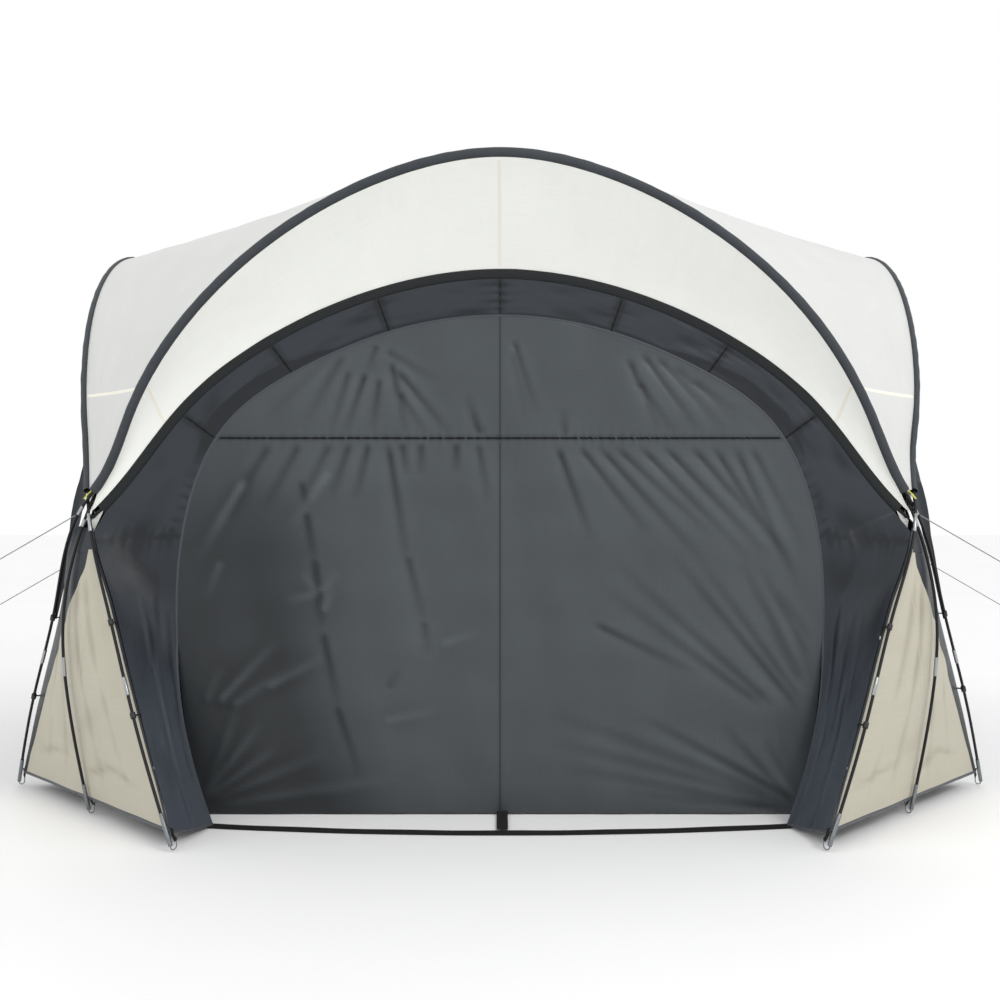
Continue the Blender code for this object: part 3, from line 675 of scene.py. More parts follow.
# Roof
# Four quarters of the same white cloth, cut to run from the arches up to the crossing poles, and sewn
# together over them. A tip of each hangs over the poles at its corner.
FABRIC = 0.003
ROOF_TOUCH = 0.40
DIAGONAL_RADIUS = 2.288
ROOF_SAG = 0.02
ROOF_EDGE_UP = 0.012
ROOF_EDGE_IN = 0.0074
TIP_CLEAR = 0.0025
TIP_ENDS = ((1.165, 0.004), (1.18, 0.012))
CORNER_SEAM_ROW = 17.2


def finer(grid, rows, columns):
    """A grid with more rows and columns, on smooth curves through its points."""
    for count in (rows, columns):
        curve = Spline(grid.reshape(len(grid), -1))
        read = curve.read(np.linspace(0, curve.knots[-1], count + 1))
        grid = read.reshape(count + 1, grid.shape[1], 3).transpose(1, 0, 2)
    return grid


def roof_height(distance):
    """Height of the roof cloth over a diagonal pole near the top."""
    lift = POLE_LIFT / 2 + POLE_RADIUS + 2 * SEAM + FABRIC / 2
    return APEX_HEIGHT - DIAGONAL_RADIUS + sqrt(DIAGONAL_RADIUS ** 2 - min(distance, ROOF_TOUCH) ** 2) + lift


# The same cloth seen from outside, where no daylight shines through it: a little greyer.
roof_polyester = woven("roof_coated_polyester", "#D5D6D4", "#CCCDCB", "#A9AAA8", 0.6, 0.2, 0.03, 0.002)
stations = np.linspace(LEFT_NODE_AT + BARE_POLE, RIGHT_NODE_AT - BARE_POLE, 23)
path = ARCH.read(stations)
_, side, out = path_axes(path, ARCH_NORMAL)
edge = path + out * ROOF_EDGE_UP - side * ROOF_EDGE_IN
first_edge, other_edge = edge[11:][::-1], turned(edge[:12], 1)
across = np.array((1, 1, 0)) / sqrt(2)
shares = np.linspace(0, 1, 9)[:, None]
lower = []
for point, other in zip(first_edge, other_edge):
    inward = (OUTWARD * 0.7 + (0, 0, 0.7)) * ROOF_SAG * np.linalg.norm(other - point) / 2.5
    lower.append((1 - shares) * point + shares * other - inward * 4 * shares * (1 - shares))
arch_top = first_edge[-1]
reach, touch = -arch_top[1], ROOF_TOUCH / sqrt(2)
upper = [lower[-1]]
for part in (0.88, 0.74, 0.6, 0.45, 0.3, 0.2, 0.1, 0):
    along = reach * part
    off = along / sqrt(2)
    over = max(0, (along - touch) / (reach - touch))
    height = (1 - over) * roof_height(along * sqrt(2)) + over * arch_top[2]
    sag = ROOF_SAG * 4 * (1 - part) * part
    past = max(0, (off - ROOF_TOUCH) / (reach / sqrt(2) - ROOF_TOUCH))
    ridge_height = (1 - past) * roof_height(off) + past * (arch_top[2] - ROOF_SAG * part)
    ends = np.array(((0, -along, height - sag), (along, 0, height - sag)))
    ridge = OUTWARD * off + (0, 0, ridge_height)
    half = np.linspace(0, 1, 5)[:, None]
    to_ridge, from_ridge = (1 - half) * ends[0] + half * ridge, (1 - half) * ridge + half * ends[1]
    upper.append(np.concatenate([to_ridge, from_ridge[1:]]))
tip = []
fine_shares = np.linspace(0, 1, 57)[:, None]
for height, width in TIP_ENDS:
    reach = np.linalg.norm(middle_leg(height)[:2]) + POLE_RADIUS + TIP_CLEAR
    tip.append(OUTWARD * reach + (0, 0, height) + across * width * (2 * fine_shares - 1))
lower = finer(np.array(lower), 60, 56)
tip += [(1 - share) * tip[1] + share * lower[0] for share in (0.33, 0.67)]
roof = np.concatenate([np.array(tip), lower, finer(np.array(upper), 50, 56)[1:]])
for _ in range(14):
    inner = (roof[:-2, 1:-1] + roof[2:, 1:-1] + roof[1:-1, :-2] + roof[1:-1, 2:]) / 4
    roof[15:-1, 1:-1] = 0.5 * roof[15:-1, 1:-1] + 0.5 * inner[14:]
roof = roof + np.array((SEAM / 2, -SEAM / 2, 0))
rows, columns = roof.shape[:2]
u, v = np.linspace(0, 1, rows)[:, None], np.linspace(0, 1, columns)[None]
inside = np.minimum(12 * v * (1 - v), 1) * np.clip(10 * (u - 0.12), 0, 1) * np.minimum(12 * (1 - u), 1)
crumple = 0.0016 * inside * waves(u * 3, v * 2.2, 31, 18, 1.1, 0.22)
roof = roof + normals_towards(roof, (1, -1, 1)) * crumple[..., None]
roof_quarter = sheet_piece("roof", roof, roof_polyester, 0.0016)
roof_pieces = all_round(roof_quarter, CORNERS, "roof_cloth", "roof")
across_corner = line_on(CORNER_SEAM_ROW, 1, CORNER_SEAM_ROW, columns - 2, 60)
seams = [strip_on(roof, across_corner, (1, -1, 1), 0.012, 0.002)]
middle = np.concatenate([first_edge[-1:] + (SEAM / 2, 0, 0), roof[65:, 0]])
ridge = np.concatenate([middle[:1], middle[4:]]) - (SEAM / 2, 0, 0)
shape = ((-0.5, 0.4), (-0.4, 1), (0.4, 1), (0.5, 0.4))
seams.append(np.stack([ridge + np.array((0.014 * a, 0, 0.0022 * b)) for a, b in shape], axis=1))
roof_seams = all_round(strips_piece("roof_seams", seams, seam_cloth), CORNERS, "roof_seams")

# Walls
# Grey taffeta below each inner sleeve: a band over the door and a panel down each side of it. The side
# panels run out to the corner legs, and their inner edges carry the zip.
SEAM_SHIFT = 0.0017
TAFFETA = 0.0014
OUT_OF_WALL = (0, -1, 0.01)
DOOR_WIDEST = 0.64
DOOR = ((0, 1.825), (0.35, 1.78), (0.72, 1.635), (1.0, 1.43), (1.135, 1.15), (1.18, DOOR_WIDEST), (1.15, 0.3))
DOOR_FOOT = (1.1, 0.0034)
PANEL_FOOT = (1.012, -1.65)
LEG_HEIGHTS = (1.035, 0.88, 0.72, 0.56, 0.42, 0.28, 0.16, 0.055)
BAND_ROWS, LINK_ROWS, SIDE_ROWS, WALL_COLUMNS = 120, 8, 76, 24
SEAM_ROWS = (0, 31, 60, 88)
ZIP = Spline(both_halves([(x, -WALL_OUT, z) for x, z in DOOR] + [(DOOR_FOOT[0], -WALL_OUT, DOOR_FOOT[1])]))
zip_middle, zip_end, zip_widest = ZIP.knots[-1] / 2, ZIP.knots[-1], ZIP.knots[-3]


def ramp(value, start, end):
    """From 0 at the start to 1 at the end, and level beyond them."""
    return np.clip((value - start) / (end - start), 0, 1)


def bell(value, middle, width):
    """A smooth hump, 1 high at its middle."""
    return np.exp(-((value - middle) / width) ** 2)


def behind(height):
    """How far behind its leg the cloth's corner fold hangs: closest at the node and the foot."""
    depths = (0.014, 0.022, 0.026, 0.024, 0.013, 0.0108)
    return float(np.interp(height, (0.055, 0.2, 0.4, 0.8, 0.96, 1.05), depths))


def corner_fold(way):
    """Points down the fold behind the leg at a wall's right or left end."""
    heights = np.interp(np.linspace(0, 7, SIDE_ROWS), range(8), LEG_HEIGHTS)
    points = []
    for height in heights:
        leg = near_leg(height) if way > 0 else turned(far_leg(height), 3)
        points.append(leg - OUTWARD * (way, 1, 1) * behind(height) - (way * SEAM_SHIFT, 0, 0))
    return np.array(points)


def wall_edge(way):
    """Half of a wall's outer edge, from the arch's top to the foot at its right or left."""
    under = inner_path - inner_out * (SLEEVE_HALF_WIDTH + SEAM)
    band = Spline(under[90:] * (way, 1, 1)).read(np.linspace(0, 1, BAND_ROWS) * Spline(under[90:]).knots[-1])
    fold = corner_fold(way)
    link = [(1 - s) * band[-1] + s * fold[0] for s in np.linspace(0, 1, LINK_ROWS + 2)[1:-1]]
    return np.concatenate([band, link, fold])


def zip_edge():
    """Half of the zip's line, in steps that match the wall's outer edge."""
    parts = [np.linspace(zip_middle, zip_widest - 0.36, BAND_ROWS),
             np.linspace(zip_widest - 0.36, zip_widest - 0.24, LINK_ROWS + 2)[1:-1],
             np.linspace(zip_widest - 0.24, zip_end, SIDE_ROWS)]
    return ZIP.read(np.concatenate(parts))


inner_edge = zip_edge()
flare = np.array((PANEL_FOOT[0], PANEL_FOOT[1], DOOR_FOOT[1])) - inner_edge[-1]
down = ramp(inner_edge[:, 2], DOOR_WIDEST, 0)
flared = inner_edge + flare * np.stack([down ** 2, down, 0 * down], axis=1)
outer_all = np.concatenate([wall_edge(-1)[:0:-1], wall_edge(1)])
inner_all = np.concatenate([flipped(flared)[:0:-1], flared])
wall_base = rows_between(outer_all, inner_all, WALL_COLUMNS)
half = len(outer_all) // 2
wall_face = normals_of(wall_base)
wall_face = -wall_face * np.sign(wall_face[..., 1:2])


def wall_relief(seed):
    """How far a wall's cloth stands out from its smooth shape, and the shade painted on it."""
    chance = np.random.default_rng(seed)
    x, z = wall_base[..., 0], wall_base[..., 2]
    share = np.linspace(0, 1, WALL_COLUMNS + 1)[:, None]
    held = np.clip(9 * share * (1 - share), 0, 1)
    band = ramp(z, 1.12, 1.24)
    at = lengths_along(wall_base, 1)[None]
    relief = 0.0016 * waves(at, share * 0.3, seed, 16, 0.5, 0.09) * held
    along = np.arange(len(outer_all))[None] - half
    for centre in SEAM_ROWS:
        for way in (-1, 1):
            gap = (along - way * centre * (1 + 0.01 * share)) / 0.9
            relief -= 0.003 * np.exp(-gap ** 2) * band * (0.5 + 0.5 * held)
            pucker = np.exp(-np.abs(gap) / 4) * np.sin(share * pi * 9 + way)
            relief += 0.0012 * pucker * band * held * (1.8 if centre == 0 else 0.8)
    # Long folds down the side panels.
    for _ in range(26):
        middle, width = chance.uniform(0.35, 0.98), chance.uniform(0.012, 0.03)
        top, length = chance.uniform(0.25, 1.0), chance.uniform(0.2, 0.7)
        way = chance.choice((-1, 1))
        lean = chance.uniform(-0.15, 0.15)
        depth = chance.uniform(0.003, 0.006) * chance.choice((-1, 1))
        fade = ramp(z, top, top - 0.06) * ramp(z, top - length, top - length + 0.2) * ramp(z, 1.05, 0.95)
        relief += depth * bell(share, middle + lean * (z - top), width) * fade * (np.sign(x) == way)
    # Small gathers at the seam between band and side panel, and beside the zip.
    over_seam = z - 1.0 - 0.02 * share
    by_the_leg = np.abs(x) > 0.9
    gather = np.exp(-np.abs(over_seam) / 0.035) * ramp(share, 0, 0.25) * by_the_leg
    gathering = 0.003 * np.sin(2 * pi * share * 6 + 2 * waves(share, z, seed + 3, 4, 0.6, 0.2)) * gather
    beside_zip = ramp(share, 0.72, 0.92) * ramp(z, 0.98, 1.03) * ramp(z, 1.36, 1.24)
    gathering = gathering + 0.002 * np.sin(2 * pi * (z * 24 + share * 1.5)) * beside_zip
    relief += gathering * np.clip(3 * (1 - share), 0.3, 1)
    seam = bell(over_seam, 0, 0.006) * by_the_leg
    relief -= 0.0015 * seam
    radial = sum(bell(np.abs(along), centre * (1 + 0.01 * share), 1.1) for centre in SEAM_ROWS[1:]) * band
    # Painted shade: darker along the seams and in the hollows of folds and gathers, and darker higher up the
    # side panels and over the band.
    shade = 0.5 * seam + 0.4 * radial + np.interp(z, (0.3, 0.6, 0.85, 1.02, 1.12), (0, 0.52, 0.8, 0.73, 0.62))
    shade = np.clip(shade + 90 * np.maximum(-relief, 0) + 140 * np.maximum(gathering, 0), 0, 0.95)
    # A painted shadow under the band's lower edge, where it overhangs the top of the door.
    band_shadow_reach = np.interp(np.abs(x), (0, 0.4, 0.6, 0.75, 0.9, 1.05, 1.14), (0.1, 0.16, 0.14, 0.34, 0.5, 0.5, 0.2))
    band_shadow = ramp(z, 1.28, 1.38) * ramp(share, 1 - band_shadow_reach, 1.06 - band_shadow_reach)
    return relief * np.minimum(1, held + 0.25), np.clip(shade + 0.4 * band_shadow, 0, 0.95)


# Polyester taffeta, dyed grey with a proofing on the back: a tight weave with a slight cool gloss.
grey_taffeta = woven("grey_taffeta", "#484E57", "#3E444D", "#14181C", 0.42, 0.3, 0.04, 0.003)
wall_cut = np.stack([np.broadcast_to(lengths_along(wall_base, 1)[None], wall_base.shape[:2]),
                     np.broadcast_to(lengths_along(wall_base, 0)[:, None], wall_base.shape[:2])], axis=-1)
# Binding tape, folded over the edges: smoother than the cloth, and stitched along.
piping = new_material("grey_binding_tape", "#30343C", roughness=0.5, sheen_weight=0.2)
ribbed(piping, 63, 0.5, ("#292D34", "#3B404A"))
# The grey cloth doubled in a flat stitched seam: darker and duller.
seam_dark = new_material("grey_seam_tape", "#121416", roughness=0.75, specular_ior_level=0.2)
ribbed(seam_dark, 63, 0.4)
for quarter, side in enumerate(SIDES):
    relief, shade = wall_relief(40 + quarter)
    grid = wall_base + wall_face * relief[..., None]
    wall = sheet_piece(f"{side}_wall_cloth", turned(grid, quarter), grey_taffeta, TAFFETA, wall_cut, shade)
    settle(wall, [f"{side}_wall"])
    lines = [line_on(1, half + way * at, WALL_COLUMNS - 0.5, half + way * at * 1.01, 14)
             for at in SEAM_ROWS for way in (1, -1)][1:]
    seams = [strip_on(grid, line, OUT_OF_WALL, 0.01, 0.0012) for line in lines]
    seams = strips_piece(f"{side}_wall_seams", seams, seam_dark, quarter)
    settle(seams)
    by_the_zip = line_on(WALL_COLUMNS - 0.15, 0.3, WALL_COLUMNS - 0.15, 2 * half - 0.3, 420)
    hems = [strip_on(grid, by_the_zip, OUT_OF_WALL, 0.009, 0.002)]
    for column in (0.15, 2 * half - 0.15):
        foot_hem = line_on(0.4, column, WALL_COLUMNS - 0.4, column, 30)
        hems.append(strip_on(grid, foot_hem, OUT_OF_WALL, 0.01, 0.002))
    hems = strips_piece(f"{side}_wall_binding", hems, piping, quarter)
    settle(hems)

# Doors
# One large panel of lighter grey taffeta, zipped in all round. It is sewn from an upper and a lower
# piece, and hangs a little too large for its frame, so folds run from the seams and the corners.

# Each fold runs from one X and Z to another, in metres. Its width and depth are in millimetres, and the
# depth of a hollow is negative.
FOLDS = (
    (-0.45, 1.72, -0.49, 1.61, 10, -6), (-0.49, 1.62, -0.57, 1.39, 12, -9),
    (-0.40, 1.66, -0.34, 1.39, 10, -9), (-0.38, 1.63, -0.18, 1.39, 12, -9),
    (-0.37, 1.55, -0.27, 1.39, 10, -7), (-0.44, 1.60, -0.47, 1.39, 10, -7),
    (-0.42, 1.70, -0.22, 1.58, 12, -5), (-0.55, 1.63, -0.62, 1.39, 12, -6),
    (-0.57, 1.69, -0.73, 1.41, 18, -6), (-0.62, 1.69, -0.87, 1.44, 20, -5), (-0.08, 1.39, -0.12, 1.55, 8, -6),
    (-0.06, 1.39, -0.10, 1.48, 8, -4), (0.05, 1.74, 0.14, 1.45, 10, -8), (0.04, 1.70, 0.11, 1.41, 12, -4),
    (0.24, 1.39, 0.23, 1.49, 8, -5), (0.47, 1.67, 0.59, 1.39, 12, -8), (0.52, 1.69, 0.74, 1.39, 14, -9),
    (0.57, 1.68, 0.84, 1.39, 16, -8), (0.63, 1.65, 0.92, 1.39, 16, -7), (0.51, 1.59, 0.64, 1.39, 10, -7),
    (0.70, 1.60, 0.99, 1.39, 14, -6), (-0.48, 1.36, -0.53, 1.15, 12, -8), (-0.41, 1.36, -0.34, 0.92, 10, -9),
    (-0.36, 1.36, -0.34, 1.24, 10, -8), (-0.29, 1.36, -0.29, 1.24, 10, -7),
    (-0.16, 1.36, -0.16, 1.25, 10, -8), (-0.08, 1.36, -0.04, 1.14, 8, -6), (-0.55, 1.36, -0.62, 1.15, 12, -7),
    (-0.62, 1.36, -0.73, 1.15, 14, -6), (-0.73, 1.36, -0.87, 1.11, 16, -6),
    (-0.84, 1.36, -1.01, 1.08, 18, -6), (0.21, 1.35, 0.34, 1.00, 10, -9), (0.29, 1.35, 0.55, 1.02, 12, -8),
    (0.36, 1.35, 0.75, 0.92, 14, -8), (0.42, 1.35, 0.82, 0.98, 14, -7), (0.51, 1.35, 0.92, 0.93, 14, -8),
    (0.60, 1.35, 1.00, 0.93, 14, -8), (0.70, 1.35, 1.05, 0.95, 14, -8), (0.78, 1.35, 1.10, 0.86, 12, -8),
    (0.86, 1.35, 1.12, 0.78, 12, -7), (0.92, 1.35, 1.14, 0.93, 10, -6), (1.11, 0.37, 0.63, 0.95, 14, -9),
    (1.01, 0.39, 0.41, 0.93, 16, -7), (0.97, 0.39, 0.38, 0.83, 16, -7), (0.34, 0.70, 0.73, 0.51, 6, -7),
    (1.12, 0.40, 0.73, 0.93, 14, -8), (1.13, 0.46, 0.88, 0.93, 14, -8), (1.14, 0.57, 0.95, 0.91, 12, -7),
    (1.14, 0.64, 1.02, 0.82, 10, -7), (1.10, 0.48, 0.97, 0.70, 10, -6), (1.16, 0.46, 1.08, 0.68, 10, -7),
    (1.12, 0.03, 0.51, 0.36, 14, -11), (1.11, 0.03, 0.18, 0.37, 20, -8), (1.11, 0.02, 0.18, 0.27, 18, -8),
    (1.10, 0.01, 0.22, 0.17, 16, -7), (1.09, 0.03, 0.81, 0.33, 12, -8), (1.11, 0.05, 0.97, 0.28, 10, -7),
    (1.11, 0.07, 1.03, 0.28, 10, -6), (1.08, 0.01, 0.44, 0.08, 12, -6), (-1.09, 0.05, -0.82, 0.24, 10, 9),
    (-1.09, 0.06, -0.87, 0.34, 10, 8), (-1.08, 0.04, -0.62, 0.23, 16, 6), (-1.08, 0.07, -0.95, 0.42, 12, 5),
    (-1.06, 0.03, -0.37, 0.13, 16, 5), (-1.04, 0.40, -0.81, 0.64, 10, 8), (-1.08, 0.41, -1.02, 0.54, 8, 5),
    (-0.86, 0.46, -0.64, 0.58, 10, 7), (-0.99, 0.39, -0.73, 0.57, 14, 5), (-0.93, 1.23, -1.11, 0.93, 14, 10),
    (-0.62, 1.26, -0.77, 1.04, 14, 6), (-1.02, 0.93, -1.08, 0.78, 10, 5), (-0.71, 1.11, -0.68, 0.93, 6, -7),
    (-0.68, 0.94, -0.65, 0.67, 6, -8), (-0.65, 0.67, -0.59, 0.39, 6, -7), (-0.60, 0.40, -0.51, 0.13, 6, -6),
    (-0.73, 1.22, -0.70, 1.11, 8, -6), (-0.34, 0.95, -0.28, 0.70, 6, -6), (-0.28, 0.71, -0.26, 0.58, 6, -5),
    (-0.66, 0.81, -0.79, 0.78, 6, 5), (-0.66, 0.81, -0.59, 0.89, 6, 5), (-0.66, 0.81, -0.73, 0.89, 6, 5),
    (-0.65, 0.74, -0.61, 0.84, 8, 6), (-0.43, 0.34, -0.22, 0.38, 8, 4), (-0.22, 0.62, -0.07, 0.67, 8, 4),
    (-0.41, 0.46, -0.37, 0.53, 6, -4),
)
CROSS_SEAM = 1.378
FRONT_DOOR_GRID = (200, 180)
OTHER_DOOR_GRID = (148, 132)


def door_grid(rows, columns):
    """A grid of points over the door, flat in its plane."""
    edge = ZIP.read(np.linspace(zip_middle + 0.02, zip_end, rows + 1))
    inward = unit(np.gradient(edge, axis=0))
    inward = np.stack([inward[:, 2], 0 * inward[:, 0], -inward[:, 0]], axis=1)
    edge = edge + inward * (SEAM * 2)
    return rows_between(flipped(edge), edge, columns).transpose(1, 0, 2)


def door_relief(x, z, seed, folds, finest):
    """How far a door's cloth stands out from its plane, in metres."""
    relief = 0.002 * waves(x, z, seed, 14, 0.7, 0.16)
    for x0, z0, x1, z1, width, depth in folds:
        run, rise = x1 - x0, z1 - z0
        length = sqrt(run ** 2 + rise ** 2)
        part = ((x - x0) * run + (z - z0) * rise) / length ** 2
        off = ((x - x0) * rise - (z - z0) * run) / length
        spread = max(width, finest) / 1000 * (1 + 0.5 * np.clip(part, 0, 1))
        taper = ramp(part, 0, 0.1) * ramp(part, 1, 0) ** 0.7
        relief += 1.1 * depth / 1000 * taper * bell(off, 0, spread)
    uneven = 0.4 + 0.6 * np.clip(waves(x, 0, seed + 2, 6, 0.9, 0.3) + 0.6, 0, 1.5)
    gather = np.exp(-np.abs(z - CROSS_SEAM) / 0.022) * uneven
    relief += 0.0018 * np.sin(2 * pi * x / 0.034 + 2 * waves(x, 0, seed + 4, 6, 0.4, 0.08)) * gather
    relief -= 0.002 * bell(z, CROSS_SEAM, 0.006) + 0.0007 * bell(x, 0, 0.004)
    across = np.linspace(0, 1, x.shape[1])[None]
    down = np.linspace(0, 1, x.shape[0])[:, None]
    return relief * np.clip(16 * across * (1 - across), 0, 1) * np.clip(14 * down, 0, 1)


def fold_shade(relief):
    """Painted shade along the bottoms of folds and painted light along their backs."""
    smooth = relief.copy()
    for _ in range(12):
        smooth[1:-1, 1:-1] = (smooth[:-2, 1:-1] + smooth[2:, 1:-1] + smooth[1:-1, :-2] + smooth[1:-1, 2:]) / 4
    return (smooth - relief) * 85


# Polyester taffeta, a lighter grey than the walls because daylight shines through it from inside.
door_taffeta = woven("grey_door_taffeta", "#545A5E", "#4A5054", "#1E2225", 0.4, 0.35, 0.04, 0.003,
                     crease=0.005)
for quarter, side in enumerate(SIDES):
    chance = np.random.default_rng(70 + quarter)
    folds = np.array(FOLDS)
    if quarter:
        folds = folds[chance.random(len(folds)) < 0.8]
        folds[:, :4] += chance.normal(0, 0.02, (len(folds), 4))
        folds[:, (0, 2)] *= -1 if quarter % 2 else 1
    door_base = door_grid(*(OTHER_DOOR_GRID if quarter else FRONT_DOOR_GRID))
    x, z = door_base[..., 0], door_base[..., 2]
    relief = door_relief(x, z, 60 + quarter, folds, 17 if quarter else 13)
    # Painted shade: beyond a crease on the left the cloth is darker, as if turned away from the light. The
    # shade also darkens the whole door a little, its foot, its seams and the hollows of its folds.
    crease = np.interp(z, (0.1, 0.4, 0.67, 0.95, 1.2, 1.38), (-0.5, -0.6, -0.65, -0.68, -0.74, -0.84))
    turned_away_shade = ramp(crease - x * (-1 if quarter % 2 else 1), -0.15, 0.15) * ramp(z, 1.5, 1.0)
    seam_line = bell(z, CROSS_SEAM, 0.009) + 0.4 * bell(x, 0, 0.006)
    shade = np.clip(0.42 + 0.48 * turned_away_shade + 0.2 * ramp(z, 0.12, 0) + 0.35 * seam_line + fold_shade(relief), 0, 1)
    grid = door_base + np.stack([0 * relief, -relief, 0 * relief], axis=-1)
    cloth, cut = turned(grid, quarter), door_base[..., ::2]
    door = sheet_piece(f"{side}_door_cloth", cloth, door_taffeta, TAFFETA, cut, shade)
    settle(door, [f"{side}_door"])
    row = float(np.interp(-CROSS_SEAM, -door_base[:, 0, 2], range(len(door_base))))
    last_row, last_column = door_base.shape[0] - 1, door_base.shape[1] - 1
    down_the_middle = line_on(4, last_column / 2, last_row - 1, last_column / 2, 150)
    seams = [strip_on(grid, line_on(row, 1, row, last_column - 1, 150), (0, -1, 0), 0.009, 0.0014),
             strip_on(grid, down_the_middle, (0, -1, 0), 0.004, 0.0009)]
    seams = strips_piece(f"{side}_door_seams", seams, seam_dark, quarter)
    settle(seams)

# Corner panels
# Cream coated polyester between the legs, edged with a strip of the grey cloth at each fold, bound
# with grey tape at the hem and clipped to the legs. The middle leg's hook pulls the hem out.
PANEL_ROWS, PANEL_COLUMNS = 56, 84
PANEL_SEAM_COLUMN = 28


def between_legs(height, behind_sides, behind_middle, columns, roundness):
    """A row of points across a corner, from behind its near leg round the middle leg to the far one."""
    near = near_leg(height) - OUTWARD * behind_sides + (SEAM_SHIFT, 0, 0)
    far = far_leg(height) - OUTWARD * behind_sides - (0, SEAM_SHIFT, 0)
    radius = np.linalg.norm(middle_leg(height)[:2]) - behind_middle
    bulge = OUTWARD * radius + (0, 0, height) - (near + far) / 2
    shares = np.linspace(0, 1, columns + 1)[:, None]
    return (1 - shares) * near + shares * far + bulge * (1 - np.abs(2 * shares - 1) ** roundness)


heights = np.linspace(0.972, 0.055, PANEL_ROWS + 1)
panel = np.array([between_legs(height, behind(height), max(0.0128, behind(height) * 0.9), PANEL_COLUMNS, 1.6)
                  for height in heights])
u, v = np.linspace(0, 1, PANEL_ROWS + 1)[:, None], np.linspace(0, 1, PANEL_COLUMNS + 1)[None]
width = np.linalg.norm(panel[:, 0] - panel[:, -1], axis=-1)[:, None]
held = np.clip(10 * v * (1 - v), 0, 1)
relief = 0.0015 * waves(u * 0.9, v * width, 81, 16, 0.5, 0.12) * held
for middle, lean, size in ((0.34, 0.06, 0.007), (0.62, -0.05, 0.006), (0.18, 0.1, 0.005), (0.8, -0.1, 0.005)):
    relief -= size * bell(v, middle + lean * (1 - u), 0.016 / width) * ramp(u, 1, 0) ** 0.5 * ramp(u, 0, 0.2)
for middle in (0.25, 0.55, 0.78):
    level = 0.86 + 0.03 * np.sin(9 * v + middle * 7)
    relief -= 0.004 * bell(u, level, 0.012 / 0.9) * bell(v, middle, 0.12)
# Painted shade in the hollows of the panel's folds.
panel_shade = np.clip(0.12 + 90 * np.maximum(-relief - 0.001, 0), 0, 0.8)
panel = panel + normals_towards(panel, OUTWARD) * relief[..., None]


def part_of_rows(grid, start, end, count, extra):
    """The part of each row from one distance along it to another, with a value read along it as well."""
    rows, values = [], []
    for row, first, last, value in zip(grid, start, end, extra):
        at = np.concatenate([[0], np.cumsum(np.linalg.norm(np.diff(row, axis=0), axis=1))])
        wanted = np.linspace(first, last, count + 1)
        rows.append(np.stack([np.interp(wanted, at, row[:, k]) for k in range(3)], axis=1))
        values.append(np.interp(wanted, at, value))
    return np.array(rows), np.array(values)


# Polyester coated cream: warmer and duller than the roof, with soft creases from the bag.
cream_polyester = woven("cream_panel_polyester", "#C3BFB0", "#B8B4A4", "#8A8372", 0.62, 0.2, 0.03, 0.003)
panel_length = np.linalg.norm(np.diff(panel, axis=1), axis=-1).sum(axis=1)
front_strip = np.full(len(heights), 0.012)
side_strip = np.interp(heights, (0.055, 0.15, 0.25, 0.35, 0.45, 0.55, 0.65, 0.73, 0.8, 0.9, 0.93, 0.972),
                       (0.028, 0.03, 0.047, 0.068, 0.091, 0.129, 0.172, 0.198, 0.203, 0.195, 0.183, 0.155))
for quarter, corner in enumerate(CORNERS):
    near_strip, far_strip = (front_strip, side_strip) if quarter % 2 == 0 else (side_strip, front_strip)
    cream_end = panel_length - far_strip
    cream, shade = part_of_rows(panel, near_strip, cream_end, 2 * PANEL_SEAM_COLUMN, panel_shade)
    cloth = turned(cream, quarter)
    cloth = sheet_piece(f"{corner}_corner_cloth", cloth, cream_polyester, TAFFETA, shade=shade)
    settle(cloth, [f"{corner}_panel"])
    hem_line = line_on(PANEL_ROWS - 0.3, 0.2, PANEL_ROWS - 0.3, PANEL_COLUMNS - 0.2, 90)
    hem = strip_on(panel, hem_line, tuple(OUTWARD), 0.012, 0.0022)
    hem = strips_piece(f"{corner}_corner_binding", [hem], piping, quarter)
    settle(hem)
    seam_line = line_on(1, PANEL_SEAM_COLUMN, PANEL_ROWS - 0.5, PANEL_SEAM_COLUMN, 60)
    seam = strip_on(cream, seam_line, tuple(OUTWARD), 0.003, 0.0012)
    seam = strips_piece(f"{corner}_corner_seam", [seam], cream_polyester, quarter)
    settle(seam)
    for kind, start, end in (("near", 0 * near_strip, near_strip - SEAM),
                             ("far", cream_end + SEAM, panel_length)):
        strip, shade = part_of_rows(panel, start, end, 14 if max(end - start) > 0.05 else 3, panel_shade)
        # Painted shade on the grey edge strips, heavier the lower they hang.
        painted_edge_shade = np.interp(strip[..., 2], (0.3, 0.7, 0.95), (0.95, 0.85, 0.68))
        edge = sheet_piece(f"{corner}_{kind}_edge", turned(strip, quarter), grey_taffeta, TAFFETA, shade=painted_edge_shade)
        settle(edge)

# The cap over the top of each corner panel is a small flap of grey cloth, tied round the poles, with painted
# shade all over it.
cap = np.array([between_legs(height, 0.013, 0.0095, 12, 1.5) for height in np.linspace(1.05, 0.962, 11)])
cap_piece = sheet_piece("corner_cap", cap, grey_taffeta, TAFFETA, shade=np.full(cap.shape[:2], 0.62))
all_round(cap_piece, CORNERS, "corner_cap")

# Clips and tabs
# Black nylon clips on short webbing hold the corner folds to the legs, and webbing tabs at the hem hang
# on the foot hooks.


def webbing_strap(points, width, thickness, face):
    """A flat strap along points, wide across the way it faces."""
    points = np.array(points, float)
    side = unit(np.cross(unit(np.gradient(points, axis=0)), np.array(face, float)))
    normal = unit(np.cross(side, unit(np.gradient(points, axis=0))))
    shape = ((-0.5, -0.5), (-0.5, 0.5), (0, 0.5), (0.5, 0.5), (0.5, -0.5), (0, -0.5))
    return np.stack([points + side * width * a + normal * thickness * b for a, b in shape], axis=1)


# Polypropylene webbing: a coarse flat weave, matt black.
black_webbing = new_material("black_polypropylene_webbing", "#1C1C1B", roughness=0.85, specular_ior_level=0.2)
ribbed(black_webbing, 80, 1.0, ("#131312", "#2B2B29"), height=0.0006)
